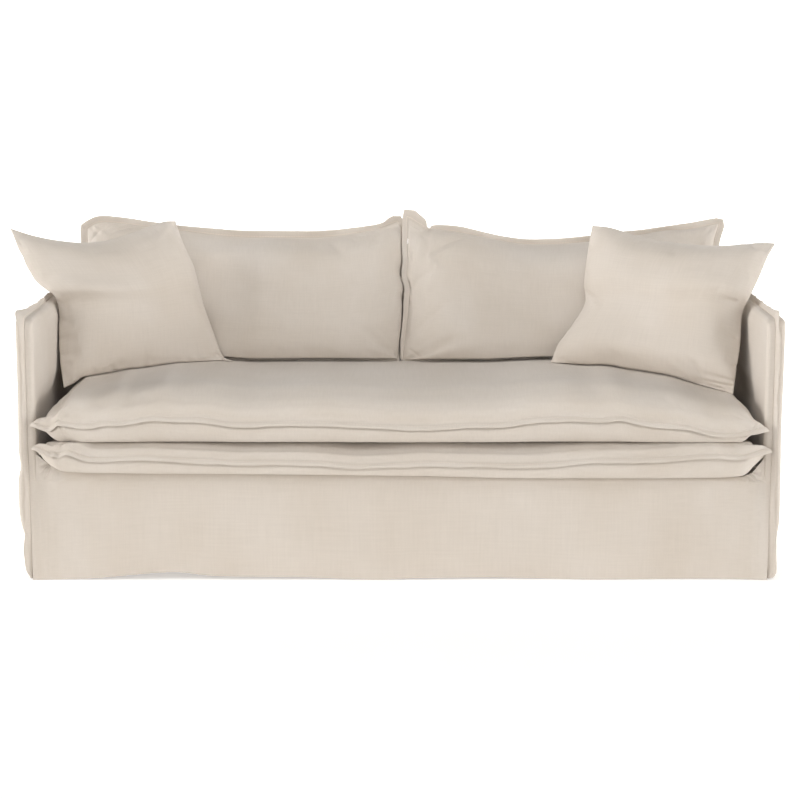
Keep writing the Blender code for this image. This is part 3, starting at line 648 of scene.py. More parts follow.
def folded_strip(name, lines, ups, closed, length):
    """A folded strip from lines of points that run along it, seam first and free edge last, with the
    way each line's thickness goes. Its fold is rounded and its row of stitches draws it in a little."""
    across = len(lines)
    section = []  # line, and half of how thick the strip is there
    for j in range(across):
        share = j / (across - 1)
        thick = 1.0 + 0.15 * math.sin(math.pi * share) - 0.45 * math.exp(-((share - 0.2) / 0.1) ** 2)
        fold = max(0.0, (share - 0.8) / 0.2)
        section.append((j, FLANGE / 2 * thick * math.sqrt(max(0.0, 1 - fold * fold))))
    rows = []
    for i in range(len(lines[0])):
        upper = [[lines[j][i][k] + ups[j][i][k] * half for k in range(3)] for j, half in section]
        lower = [[lines[j][i][k] - ups[j][i][k] * half for k in range(3)] for j, half in section]
        around = upper + lower[-2::-1]
        rows.append([tuple(p) for p in around + [around[0]]])
    if closed:
        rows.append(rows[0])
    strip = cloth_panel(name, rows, (STRIP_CUT, length))
    edit = bmesh.new()
    edit.from_mesh(strip.data)
    bmesh.ops.remove_doubles(edit, verts=edit.verts, dist=1e-6)
    bmesh.ops.holes_fill(edit, edges=[e for e in edit.edges if e.is_boundary], sides=0)
    bmesh.ops.recalc_face_normals(edit, faces=edit.faces)
    if edit.calc_volume(signed=True) < 0:
        bmesh.ops.reverse_faces(edit, faces=edit.faces)
    edit.to_mesh(strip.data)
    edit.free()
    bpy.ops.object.shade_smooth_by_angle(angle=math.radians(60))
    return strip


def spread_lines(roots, bends, tips, ups_root, ups_tip, count):
    """Lines from the seam to the bend and on to the free edge, as the thickness turns with them."""
    lines, ups = [roots], [ups_root]
    for j in range(count):
        share = j / (count - 1)
        lines.append([tuple(b[k] + (t[k] - b[k]) * share for k in range(3)) for b, t in zip(bends, tips)])
        ups.append([unit([a[k] * (1 - share) ** 2 + b[k] * (1 - (1 - share) ** 2) for k in range(3)])
                    for a, b in zip(ups_root, ups_tip)])
    return lines, ups


sewn_linen = linen("washed linen, folded and topstitched", FLANGE_STITCH)


def arm_flange(side, label, table):
    """Sews the strip up one arm's front seam, round its top corner and back along its top."""
    line = [(0.0, z) for z in between(0.004, 0.655, 95)]
    line += [(0.0, 0.664), (0.0, 0.672), (0.0, 0.681), (0.0, ARM_TOP), (0.009, ARM_TOP), (0.018, ARM_TOP)]
    line += [(y, ARM_TOP) for y in between(0.027, BACK_SEAM_Y - 0.002, 110)]
    roots, bends, tips, straight, leaning = [], [], [], [], []
    length, last = 0.0, line[0]
    for y, z in line:
        length += math.hypot(y - last[0], z - last[1])
        last = (y, z)
        width, lean = curve(table, length)
        ripple = 0.0010 * math.sin(47 * length + side) + 0.0007 * math.sin(101 * length)
        width, lean = width + 0.4 * ripple, lean + ripple
        x, ry, rz = arm_place(side, SEAM_X, y, z)
        turn = clamp((z - 0.655) / 0.035) + min(1.0, y / 0.027)
        out = (-math.cos(turn * math.pi / 4), math.sin(turn * math.pi / 4))
        roots.append((x, ry - out[0] * 0.002, rz - out[1] * 0.002))
        bends.append((x, ry + out[0] * 0.002, rz + out[1] * 0.002))
        tips.append((x + side * lean, ry + out[0] * width, rz + out[1] * width))
        straight.append((1.0, 0.0, 0.0))
        reach = max(width - 0.002, 0.001)
        leaning.append(unit((reach, -side * lean * out[0], -side * lean * out[1])))
    lines, ups = spread_lines(roots, bends, tips, straight, leaning, 9)
    strip = folded_strip("arm_flange_strip_" + label, lines, ups, False, 1.58)
    finish_sheet(strip, "arm_flange_" + label, (0.0195, 1.58), "folded", finish=sewn_linen)


arm_flange(-1, "left", LEFT_FLANGE)
arm_flange(1, "right", RIGHT_FLANGE)


# ---- Back cover ------------------------------------------------------------------------------
# The inside back is a plain panel above the seat. The outside back runs from one arm to the other and
# down to the floor, round both back corners. They meet along the top in a seam with the same folded
# strip as the arms, and the outside falls in shallow folds towards its hem.
BACK_OUTER_Y = 0.928


def back_place(x, y, z):
    """The outside back's hang: shallow folds that grow towards the hem."""
    low = max(0.0, 1 - z / ARM_TOP)
    free = clamp((0.97 - abs(x)) / 0.15)
    swell = 0.004 * low * math.sin(7.3 * BACK_SEAM_Y + math.copysign(1.1, x))
    swell += 0.002 * math.sin(11 * BACK_SEAM_Y + 9 * z + math.copysign(1.0, x))
    outer = clamp((abs(x) - SEAM_X) / (HALF_WIDTH - SEAM_X))
    y += 0.006 * low * math.sin(9 * x + 2) * free
    return x + math.copysign(swell * outer, x), y, z


inside_reach = INNER_X - 0.0005 - CLOTH
path = []
for share in stations(110, 0.0):
    x = -inside_reach + 2 * inside_reach * share
    seam_x = x if abs(x) < inside_reach - 0.01 else math.copysign(SEAM_X - FLANGE / 2 - 0.0015, x)
    path.append((x, BACK_INNER_Y, seam_x, BACK_SEAM_Y - FLANGE / 2 - SEAM_GAP))
rows = wrapped(path, between(0.280, ARM_TOP - ARM_ROUND - 0.012, 24), ARM_TOP, ARM_ROUND)
inside_back = cloth_panel("back_inner_panel", rows, (1.89, 0.44))
faces_out(inside_back, (0, -1, 0))
thicken(inside_back, CLOTH)
finish_sheet(inside_back, "back_inside", (1.89, 0.44), "stretched")

corner = [(HALF_WIDTH, y) for y in between(BACK_SEAM_Y + FLANGE / 2 + 0.0004, BACK_OUTER_Y - ARM_ROUND, 4)]
for a in between(0, math.pi / 2, 8)[1:]:
    corner.append((HALF_WIDTH - ARM_ROUND * (1 - math.cos(a)), BACK_OUTER_Y - ARM_ROUND * (1 - math.sin(a))))
middle = [(x, BACK_OUTER_Y) for x in between(0.97, -0.97, 160)]
outer_line = BACK_SEAM_Y + FLANGE / 2 + SEAM_GAP
path = []
for x, y in corner + middle + [(-x, y) for x, y in corner[::-1]]:
    path.append((x, y, math.copysign(min(abs(x), SEAM_X + FLANGE / 2 + 0.001), x), outer_line))
rows = wrapped(path, between(0.0035, ARM_TOP - ARM_ROUND - 0.012, 44), ARM_TOP, ARM_ROUND)
outside_back = cloth_panel("back_outer_panel", [[back_place(*p) for p in row] for row in rows], (2.06, 0.71))
faces_out(outside_back, (0, 1, 0))
thicken(outside_back, CLOTH)
finish_sheet(outside_back, "back_outside", (2.06, 0.71), "hung")

reach = SEAM_X - FLANGE / 2 - SEAM_GAP - 0.001
roots, bends, tips, ups = [], [], [], []
for x in between(-reach, reach, 190):
    ripple = 0.003 * math.sin(8 * x) + 0.001 * math.sin(43 * x)
    roots.append((x, BACK_SEAM_Y, ARM_TOP - 0.002))
    bends.append((x, BACK_SEAM_Y, ARM_TOP + 0.002))
    tips.append((x, BACK_SEAM_Y + ripple, ARM_TOP + 0.014 + 0.0006 * math.sin(29 * x)))
    ups.append((0.0, 1.0, 0.0))
lines, ups = spread_lines(roots, bends, tips, ups, ups, 8)
strip = folded_strip("back_flange_strip", lines, ups, False, 1.93)
finish_sheet(strip, "back_flange", (0.0185, 1.93), "folded", finish=sewn_linen)


# ---- Seat cushions ---------------------------------------------------------------------------
# Two long mattress cushions lie on each other: a thin firm one below and a thick soft one on top. Each
# is two linen panels, top and bottom, filled with fibre and sewn together all round with the folded
# strip between them. The weight above presses them flat where they touch.
SEAT_UPPER = {  # each side of the seam: share of the side, x, y and height
    "low": (
        (0.000, -0.952, -0.016, 0.4224),
        (0.022, -0.911, -0.021, 0.4092),
        (0.029, -0.897, -0.023, 0.4165),
        (0.034, -0.887, -0.024, 0.4265),
        (0.041, -0.875, -0.024, 0.4250),
        (0.057, -0.843, -0.024, 0.4205),
        (0.077, -0.805, -0.025, 0.4190),
        (0.099, -0.763, -0.025, 0.4264),
        (0.118, -0.727, -0.025, 0.4245),
        (0.164, -0.641, -0.026, 0.4388),
        (0.185, -0.600, -0.026, 0.4356),
        (0.228, -0.519, -0.025, 0.4356),
        (0.277, -0.426, -0.024, 0.4211),
        (0.368, -0.252, -0.026, 0.4266),
        (0.476, -0.047, -0.027, 0.4171),
        (0.542, 0.078, -0.027, 0.4145),
        (0.587, 0.164, -0.026, 0.4198),
        (0.632, 0.249, -0.026, 0.4198),
        (0.689, 0.357, -0.025, 0.4343),
        (0.735, 0.444, -0.025, 0.4375),
        (0.770, 0.511, -0.025, 0.4330),
        (0.802, 0.571, -0.026, 0.4383),
        (0.831, 0.626, -0.026, 0.4264),
        (0.866, 0.693, -0.025, 0.4198),
        (0.892, 0.742, -0.024, 0.4145),
        (0.930, 0.815, -0.022, 0.3960),
        (0.953, 0.859, -0.020, 0.3933),
        (0.975, 0.901, -0.018, 0.3986),
        (1.000, 0.948, -0.014, 0.4092),
    ),
    "right": (
        (0.000, 0.948, -0.014, 0.4092),
        (0.025, 0.928, 0.006, 0.404),
        (0.500, 0.920, 0.400, 0.410),
        (1.000, 0.930, 0.845, 0.405),
    ),
    "high": (
        (0.000, -0.930, 0.845, 0.405),
        (0.500, 0.000, 0.850, 0.410),
        (1.000, 0.930, 0.845, 0.405),
    ),
    "left": (
        (0.000, -0.952, -0.016, 0.4224),
        (0.025, -0.928, 0.006, 0.411),
        (0.500, -0.920, 0.400, 0.410),
        (1.000, -0.930, 0.845, 0.405),
    ),
}
SEAT_LOWER = {
    "low": (
        (0.000, -0.948, -0.022, 0.3620),
        (0.011, -0.927, -0.026, 0.3535),
        (0.022, -0.906, -0.029, 0.3435),
        (0.027, -0.896, -0.030, 0.3470),
        (0.033, -0.885, -0.030, 0.3420),
        (0.045, -0.862, -0.033, 0.3501),
        (0.076, -0.803, -0.036, 0.3341),
        (0.154, -0.655, -0.039, 0.3367),
        (0.189, -0.588, -0.039, 0.3330),
        (0.246, -0.479, -0.040, 0.3278),
        (0.279, -0.417, -0.040, 0.3241),
        (0.362, -0.259, -0.040, 0.3251),
        (0.392, -0.202, -0.040, 0.3225),
        (0.439, -0.111, -0.040, 0.3146),
        (0.533, 0.067, -0.041, 0.3225),
        (0.583, 0.163, -0.041, 0.3199),
        (0.673, 0.334, -0.040, 0.3172),
        (0.764, 0.508, -0.040, 0.3293),
        (0.824, 0.622, -0.040, 0.3304),
        (0.881, 0.730, -0.038, 0.3367),
        (0.924, 0.813, -0.036, 0.3409),
        (0.948, 0.857, -0.033, 0.3367),
        (0.964, 0.888, -0.031, 0.3367),
        (0.986, 0.930, -0.027, 0.3488),
        (1.000, 0.957, -0.022, 0.3540),
    ),
    "right": (
        (0.000, 0.957, -0.022, 0.3540),
        (0.020, 0.930, -0.006, 0.338),
        (0.500, 0.924, 0.400, 0.320),
        (1.000, 0.932, 0.845, 0.320),
    ),
    "high": (
        (0.000, -0.932, 0.845, 0.320),
        (0.500, 0.000, 0.850, 0.320),
        (1.000, 0.932, 0.845, 0.320),
    ),
    "left": (
        (0.000, -0.948, -0.022, 0.3620),
        (0.020, -0.930, -0.006, 0.342),
        (0.500, -0.924, 0.400, 0.320),
        (1.000, -0.932, 0.845, 0.320),
    ),
}
LOWER_TOP = 0.3605
SEAT_REST = 0.0004


def stretched(low, high, left, right, u, v):
    """A point of the surface stretched between four side curves, given a point of each."""
    return [(1 - v) * low[1][k] + v * high[1][k] + (1 - u) * left[1][k] + u * right[1][k]
            - (1 - u) * ((1 - v) * low[0][k] + v * high[0][k])
            - u * ((1 - v) * low[2][k] + v * high[2][k]) for k in range(3)]


def patch(sides, u, v):
    """A point of the surface that the four sides of a cushion's seam hold between them."""
    low, high = ([list(sides[s][0][1:]), curve(sides[s], u), list(sides[s][-1][1:])] for s in ("low", "high"))
    return stretched(low, high, [None, curve(sides["left"], v)], [None, curve(sides["right"], v)], u, v)


def full(t, firmness, edge):
    """How full a cushion is across one way: 0 at both seams, 1 in the middle."""
    return (1 - abs(2 * t - 1) ** firmness) ** edge


def upper_depths(u, v):
    """How far the upper cushion's top and bottom panels swell; its middle is sat in a little."""
    dip = 0.010 * math.exp(-(((u - 0.5) / 0.3) ** 2)) * v
    wave = 0.0025 * math.sin(19 * u + 2 * v) * math.exp(-v / 0.15)
    return 0.083 - dip + wave, 0.078


def seat_height(x, y):
    """The height of the upper seat cushion's crown."""
    u = clamp(0.5 + x / 1.87)
    v = clamp((y + 0.02) / 0.87)
    return patch(SEAT_UPPER, u, v)[2] + upper_depths(u, v)[0] * full(u, 16, 0.4) * full(v, 9, 0.4)


def on_seam(points, seam):
    """For each point of a mesh, whether it lies on the seam, which is given from the floor up."""
    sewn = {(round(x, 5), round(y - MIDDLE_Y, 5), round(z + FLOOR_HEIGHT, 5)) for x, y, z in seam}
    return [tuple(round(k, 5) for k in point) in sewn for point in points]


def cushion(name, sides, us, vs, up, depths, firm, settle, cut):
    """Two panels of a cushion joined round their seam, before it swells. It returns the piece and the seam's
    points in order."""
    across, along = len(us) - 1, len(vs) - 1
    lows, highs = ([curve(sides[s], u) for u in us] for s in ("low", "high"))
    lefts, rights = ([curve(sides[s], v) for v in vs] for s in ("left", "right"))
    halves, seam = [], {}
    for side in (0, 1):
        rows = []
        for j, v in enumerate(vs):
            row = []
            for i, u in enumerate(us):
                low, high = [lows[0], lows[i], lows[-1]], [highs[0], highs[i], highs[-1]]
                x, y, z = stretched(low, high, [None, lefts[j]], [None, rights[j]], u, v)
                rim = i in (0, across) or j in (0, along)
                if rim:
                    x, y, z = seam[i, j] = settle(x, y, z, "rim")
                else:
                    across_firm, along_firm = firm[side]
                    depth = depths(u, v)[side] * full(u, *across_firm) * full(v, *along_firm)
                    depth *= 1 if side == 0 else -1
                    x, y, z = settle(x + up[0] * depth, y + up[1] * depth, z + up[2] * depth, side)
                row.append((x, y, z))
            rows.append(row)
        halves.append(cloth_panel(name + "_panel", rows, cut))
    halves[0].select_set(True)
    bpy.ops.object.join()
    piece = bpy.context.object
    piece.name = piece.data.name = name
    edit = bmesh.new()
    edit.from_mesh(piece.data)
    bmesh.ops.remove_doubles(edit, verts=edit.verts, dist=1e-6)
    edit.verts.index_update()
    bmesh.ops.recalc_face_normals(edit, faces=edit.faces)
    if edit.calc_volume(signed=True) < 0:
        bmesh.ops.reverse_faces(edit, faces=edit.faces)
    crease = edit.edges.layers.float.new("crease_edge")
    rim = on_seam([point.co for point in edit.verts], seam.values())
    for edge in edit.edges:
        if all(rim[end.index] for end in edge.verts):
            edge[crease] = 0.9
    edit.to_mesh(piece.data)
    edit.free()
    order = [(i, 0) for i in range(across)] + [(across, j) for j in range(along)]
    order += [(i, along) for i in range(across, 0, -1)] + [(0, j) for j in range(along, 0, -1)]
    return piece, [seam[at] for at in order]


def swell(piece, seam, rest, slack, most):
    """Fills a cushion: its cloth, cut with some slack, is blown up against its seam, so that it puckers
    there. No point moves further than most, and none past what the cushion lies against."""
    mesh = piece.data
    start = np.empty(len(mesh.vertices) * 3)
    mesh.vertices.foreach_get("co", start)
    start = start.reshape(-1, 3)
    fixed = on_seam([point.co for point in mesh.vertices], seam)
    held = piece.vertex_groups.new(name="Held")
    held.add([k for k, is_sewn in enumerate(fixed) if is_sewn], 1.0, "REPLACE")
    cloth = piece.modifiers.new("Filling", "CLOTH")
    settings = cloth.settings
    settings.vertex_group_mass = "Held"
    settings.quality = 4
    settings.mass = 0.2
    settings.tension_stiffness, settings.compression_stiffness = 12.0, 6.0
    settings.shear_stiffness, settings.bending_stiffness = 4.0, 0.15
    settings.shrink_min = -slack
    settings.use_pressure, settings.uniform_pressure_force = True, 4.0
    settings.effector_weights.gravity = 0.0
    cloth.collision_settings.use_collision = False
    for number in range(1, 21):
        bpy.context.scene.frame_set(number)
    swollen = piece.evaluated_get(bpy.context.evaluated_depsgraph_get()).to_mesh()
    end = np.empty(len(swollen.vertices) * 3)
    swollen.vertices.foreach_get("co", end)
    bpy.context.scene.frame_set(1)
    piece.modifiers.remove(cloth)
    piece.vertex_groups.remove(held)
    moved = end.reshape(-1, 3) - start
    size = np.linalg.norm(moved, axis=1)
    moved *= (most * np.tanh(size / most) / np.maximum(size, 1e-9))[:, None]
    ended = []
    for (x, y, z), is_sewn in zip(start + moved, fixed):
        if not is_sewn:
            x, y, z = rest(x, y + MIDDLE_Y, z - FLOOR_HEIGHT)
            y, z = y - MIDDLE_Y, z + FLOOR_HEIGHT
        ended.append((x, y, z))
    mesh.vertices.foreach_set("co", np.array(ended).ravel())
    mesh.update()


def finish_cushion(piece, node, folds=()):
    """One more subdivision and its creases, then the cushion is dressed and stands for its CAD node."""
    finer = piece.modifiers.new("Finer", "SUBSURF")
    finer.levels = finer.render_levels = 1
    apply_all(piece)
    press_folds(piece, folds)
    bpy.ops.object.shade_smooth()
    piece.data.materials.clear()
    piece.data.materials.append(washed_linen)
    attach(piece, "root")
    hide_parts(node)


STRIP_LINES = 9
SEWN_IN = 0.0008  # how far the strip reaches in between the two panels


def seam_strip(name, node, seam, centre, up, spread):
    """The folded strip in a cushion's seam, all round: spread gives its width and its droop at a point."""
    count, length, turn = len(seam), 0.0, 0.0  # turn: whether the seam runs one way round or the other
    for here, after in zip(seam, seam[1:] + seam[:1]):
        arm = cross([here[k] - centre[k] for k in range(3)], [after[k] - here[k] for k in range(3)])
        turn += sum(arm[k] * up[k] for k in range(3))
    outs = []
    for i, here in enumerate(seam):
        before, after = seam[i - 1], seam[(i + 1) % count]
        one, two = (unit([b[k] - a[k] for k in range(3)]) for a, b in ((before, here), (here, after)))
        length += math.dist(here, after)
        out = unit(cross(unit([one[k] + two[k] for k in range(3)]), up))
        outs.append([math.copysign(1.0, turn) * a for a in out])
    lines, ups = ([[] for _ in range(STRIP_LINES)] for _ in range(2))
    for here, out in zip(seam, outs):
        width, droop = spread(*here)
        for j in range(STRIP_LINES):
            share = j / (STRIP_LINES - 1)
            away = -SEWN_IN + (width + SEWN_IN) * share
            down = droop * share**1.4
            lines[j].append(tuple(here[k] + out[k] * away - up[k] * down for k in range(3)))
            lean = math.atan2(1.4 * droop * share**0.4, max(width, 0.002))
            ups[j].append([up[k] * math.cos(lean) + out[k] * math.sin(lean) for k in range(3)])
    strip = folded_strip(name, lines, ups, True, length)
    wide = sum(math.dist(a, b) for one, two in zip(lines, lines[1:]) for a, b in zip(one, two)) / count
    finish_sheet(strip, node, (round(wide + 0.002, 4), round(length, 2)), "folded", finish=sewn_linen)


def front_spread(x, y, z):
    """Width and droop of a seat cushion's strip. In front it hangs over the panel below it; it is narrow
    and level where arms and back press it."""
    ahead = clamp((0.008 - y) / 0.016)
    wave = 0.0007 * math.sin(21 * x) + 0.0005 * math.sin(47 * x + 1) + 0.0003 * math.sin(97 * x)
    return 0.0075 + (0.0015 + wave) * ahead, (0.0105 + 1.2 * wave) * ahead


def between_seats(y):
    """How high the two seat cushions meet: a little higher in front, where both bulge."""
    return LOWER_TOP + 0.009 * clamp((0.060 - y) / 0.07) ** 1.5


def lower_rest(x, y, z):
    """The lower cushion lies on the deck and the skirt's top edge, pressed flat by the upper one."""
    ahead = clamp((0.070 - y) / 0.045)
    ground = DECK_TOP + (max(curve(RAIL, x)[0], DECK_TOP) - DECK_TOP) * ahead * ahead * (3 - 2 * ahead)
    return x, y, min(max(z, ground + SEAT_REST), between_seats(y))


def upper_rest(x, y, z):
    """The upper cushion lies on the lower one; the cushions that stand on it keep its back part flat."""
    z = max(z, between_seats(y) + SEAT_REST)
    if y > 0.12:
        z = min(z, seat_height(x, y) + 0.004 * max(0.0, 1 - (y - 0.12) / 0.10))
    return x, y, z


def puffed(sides, x, y, z, side, contact):
    """The panel below the front seam comes out again under the strip, down to where it touches."""
    if side != 1 or y > 0.03:
        return y
    share = clamp(x / (2 * sides["low"][-1][1]) + 0.5)
    top = curve(sides["low"], share)[2]
    tall = max(top - contact, 0.02)
    step = clamp((top - z - 0.0068) / 0.0070)
    past = max(0.0, (top - z - 0.0165) / (tall - 0.0145))
    out = 0.0115 * min(1.0, tall / 0.045) * clamp((0.935 - abs(x)) / 0.04)
    return y - out * step * step * (3 - 2 * step) * math.sqrt(max(0.0, 1 - past * past))


def lower_settle(x, y, z, side):
    x, y, z = lower_rest(x, y, z)
    return x, puffed(SEAT_LOWER, x, y, z, side, curve(RAIL, x)[0]), z


def upper_settle(x, y, z, side):
    x, y, z = upper_rest(x, y, z)
    return x, puffed(SEAT_UPPER, x, y, z, side, between_seats(y)), z


seat_lower, seam = cushion(
    "seat_cushion_lower", SEAT_LOWER, stations(170, 0.65), crowded(48, 3.0), (0.0, 0.0, 1.0),
    lambda u, v: (0.062, 0.075), (((22, 0.4), (14, 0.4)), ((26, 0.35), (22, 0.35))), lower_settle,
    (1.92, 0.90),
)
seam_strip("seat_strip_lower", "seat_lower_flange", seam, (0.0, 0.42, 0.32), (0.0, 0.0, 1.0), front_spread)
swell(seat_lower, seam, lower_rest, slack=0.012, most=0.005)
finish_cushion(seat_lower, "seat_lower")

seat_upper, seam = cushion(
    "seat_cushion_upper", SEAT_UPPER, stations(160, 0.65), crowded(76, 2.9), (0.0, 0.0, 1.0),
    upper_depths, (((16, 0.4), (9, 0.4)), ((14, 1.1), (22, 0.3))), upper_settle, (1.92, 0.95),
)
seam_strip("seat_strip_upper", "seat_upper_flange", seam, (0.0, 0.42, 0.40), (0.0, 0.0, 1.0), front_spread)
swell(seat_upper, seam, upper_rest, slack=0.015, most=0.006)
finish_cushion(seat_upper, "seat_upper", (  # the pinches in its two front corners
    (-0.888, 0.426, -0.870, 0.392, 0.005, 0.0045),
    (-0.876, 0.420, -0.862, 0.398, 0.005, -0.0025),
    (-0.935, 0.430, -0.905, 0.428, 0.006, 0.0030),
    (0.918, 0.408, 0.930, 0.420, 0.004, 0.0030),
    (0.905, 0.402, 0.880, 0.412, 0.005, 0.0025),
))


# ---- Back cushions ---------------------------------------------------------------------------
# Two loose cushions side by side lean on the inside back. Each is a front and a back panel of the same
# linen, plumply filled, with the folded strip in its seam all round. Their tops sag between the corners.
BACK_LEFT = {
    "low": (
        (0.0, -0.900, 0.612, 0.488),
        (0.5, -0.470, 0.604, 0.489),
        (1.0, -0.004, 0.612, 0.488),
    ),
    "high": (
        (0.00, -0.909, 0.800, 0.848),
        (0.04, -0.875, 0.800, 0.864),
        (0.10, -0.824, 0.800, 0.863),
        (0.20, -0.735, 0.800, 0.852),
        (0.31, -0.632, 0.800, 0.841),
        (0.44, -0.515, 0.800, 0.826),
        (0.55, -0.410, 0.800, 0.821),
        (0.78, -0.208, 0.800, 0.823),
        (0.90, -0.099, 0.800, 0.839),
        (1.00, -0.009, 0.800, 0.866),
    ),
    "left": (
        (0.0, -0.900, 0.612, 0.488),
        (0.5, -0.895, 0.715, 0.675),
        (1.0, -0.909, 0.800, 0.848),
    ),
    "right": (
        (0.0, -0.004, 0.612, 0.488),
        (0.5, -0.003, 0.715, 0.675),
        (1.0, -0.009, 0.800, 0.866),
    ),
}
BACK_RIGHT = {
    "low": (
        (0.0, 0.006, 0.612, 0.488),
        (0.5, 0.470, 0.595, 0.488),
        (1.0, 0.908, 0.590, 0.484),
    ),
    "high": (
        (0.00, 0.0215, 0.790, 0.879),
        (0.03, 0.058, 0.790, 0.858),
        (0.055, 0.084, 0.793, 0.846),
        (0.08, 0.098, 0.795, 0.848),
        (0.21, 0.214, 0.800, 0.828),
        (0.36, 0.348, 0.800, 0.804),
        (0.49, 0.464, 0.800, 0.803),
        (0.60, 0.566, 0.800, 0.812),
        (0.73, 0.686, 0.800, 0.828),
        (0.82, 0.763, 0.800, 0.841),
        (0.90, 0.836, 0.800, 0.845),
        (1.00, 0.926, 0.800, 0.862),
    ),
    "left": (
        (0.00, 0.006, 0.612, 0.488),
        (0.08, 0.010, 0.617, 0.520),
        (0.24, 0.018, 0.637, 0.580),
        (0.40, 0.0245, 0.660, 0.640),
        (0.45, 0.0255, 0.668, 0.661),
        (0.51, 0.0285, 0.678, 0.684),
        (0.62, 0.0185, 0.698, 0.725),
        (0.71, 0.0225, 0.715, 0.760),
        (0.79, 0.0205, 0.732, 0.790),
        (0.92, 0.0220, 0.764, 0.840),
        (1.00, 0.0215, 0.790, 0.879),
    ),
    "right": (
        (0.0, 0.908, 0.590, 0.484),
        (0.5, 0.900, 0.710, 0.670),
        (0.85, 0.908, 0.772, 0.805),
        (1.0, 0.926, 0.800, 0.862),
    ),
}
BACK_UP = (0.0, -1.0, 0.0)  # their front panels swell towards the front
SEAT_BACK = 0.486  # the least height of the seat under them
SEAM_CLEAR, PANEL_CLEAR = 0.0027, 0.0052  # how far over the seat their seams and their panels stay
MEETING = (  # height, and how far the left cushion's side comes there
    (0.488, -0.0090),
    (0.520, -0.0045),
    (0.580, 0.0040),
    (0.640, 0.0080),
    (0.661, 0.0065),
    (0.684, 0.0115),
    (0.725, 0.0025),
    (0.760, 0.0060),
    (0.790, 0.0045),
    (0.880, 0.0045),
)
LEFT_TOP = (  # along the top: how far the strip stands up
    (-0.909, 0.020),
    (-0.820, 0.019),
    (-0.740, 0.017),
    (-0.630, 0.015),
    (-0.510, 0.0195),
    (-0.210, 0.0195),
    (-0.100, 0.016),
    (-0.047, 0.012),
    (-0.026, 0.0195),
    (-0.009, 0.0215),
)
RIGHT_TOP = (
    (0.0215, 0.027),
    (0.028, 0.030),
    (0.042, 0.027),
    (0.058, 0.0235),
    (0.071, 0.017),
    (0.076, 0.0065),
    (0.084, 0.002),
    (0.093, 0.0085),
    (0.118, 0.014),
    (0.174, 0.0185),
    (0.253, 0.014),
    (0.342, 0.0145),
    (0.461, 0.0155),
    (0.550, 0.017),
    (0.650, 0.016),
    (0.753, 0.012),
    (0.831, 0.018),
    (0.926, 0.0175),
)


def back_rest(x, y, z, clear=PANEL_CLEAR):
    """A back cushion leans on the inside back and stands on the seat."""
    return x, min(y, BACK_INNER_Y - SEAT_REST), max(z, max(seat_height(x, y), SEAT_BACK) + clear)


def beside(z):
    """Where the two back cushions meet, at a height: the left one's side comes this far."""
    return curve(MEETING, z)[0]


def back_settle(x, y, z, side):
    """Stands a back cushion on the seat before it is filled, its front panel a little lower down."""
    if side == "rim":
        return back_rest(x, y, z, SEAM_CLEAR)
    if side == 0:
        z -= 0.018 * max(0.0, 1 - (z - 0.50) / 0.09)
        if -0.45 < x < 0:  # the left one bulges sideways against the right one's strip
            inward = -0.003 - x
            ahead = max(0.0, 0.612 + 0.5 * (z - 0.488) - y)
            bulge = (1 - math.exp(-((ahead / 0.012) ** 2))) * math.exp(-((inward / 0.15) ** 2))
            x += (beside(z) + 0.0085) * bulge
            x += 0.9 * inward * math.exp(-((inward / 0.05) ** 2))
    return back_rest(x, y, z)


def left_rest(x, y, z):
    if x > -0.06:
        x = min(x, beside(z) + 0.0004)
    return back_rest(x, y, z)


def right_rest(x, y, z):
    return back_rest(max(x, beside(z) + 0.0125) if z > 0.52 else x, y, z)


def back_spread(x, y, z):
    """Width and droop of the left one's strip: it stands free along the top, and hardly at the middle."""
    free = clamp((z - 0.50) / 0.25)
    if x > -0.0088 and z < 0.862:
        return 0.0025 + max(0.0, beside(z) - x + 0.0025) * clamp((z - 0.70) / 0.03), 0.0
    return 0.0025 + (curve(LEFT_TOP, x)[0] - 0.0025) * free, free * (
        0.004 * math.sin(31 * x) + 0.0015 * math.sin(79 * x))


def middle_spread(x, y, z):
    """The right one's strip faces the front where the two cushions meet, and flaps up at the corner."""
    if x < 0.03 and 0.6125 < y < 0.7895:
        return x - max(beside(z) + 0.0016, 0.0010) - 0.003 * math.exp(-(((z - 0.66) / 0.008) ** 2)), -0.002
    free = clamp((z - 0.50) / 0.25)
    return 0.0025 + (curve(RIGHT_TOP, x)[0] - 0.0025) * free, free * (
        0.003 * math.sin(31 * x) + 0.0015 * math.sin(79 * x))


def back_depths(u, v):
    """The right one's left side stands further forward, and its front rises gently from there."""
    ahead = 0.022 * (1 - u) * math.sin(math.pi * v)
    gentle = 0.40 + 0.60 * min(1.0, u / 0.06)
    return (0.100 + 0.004 * math.sin(7 * u + 5 * v) - ahead) * gentle, 0.150 + ahead


def pressed_depths(u, v):
    """The left one is pressed back by the scatter cushion in front of it."""
    front = 0.100 + 0.004 * math.sin(7 * u + 5 * v)
    return front - 0.050 * clamp((0.56 - u) / 0.20), 0.150


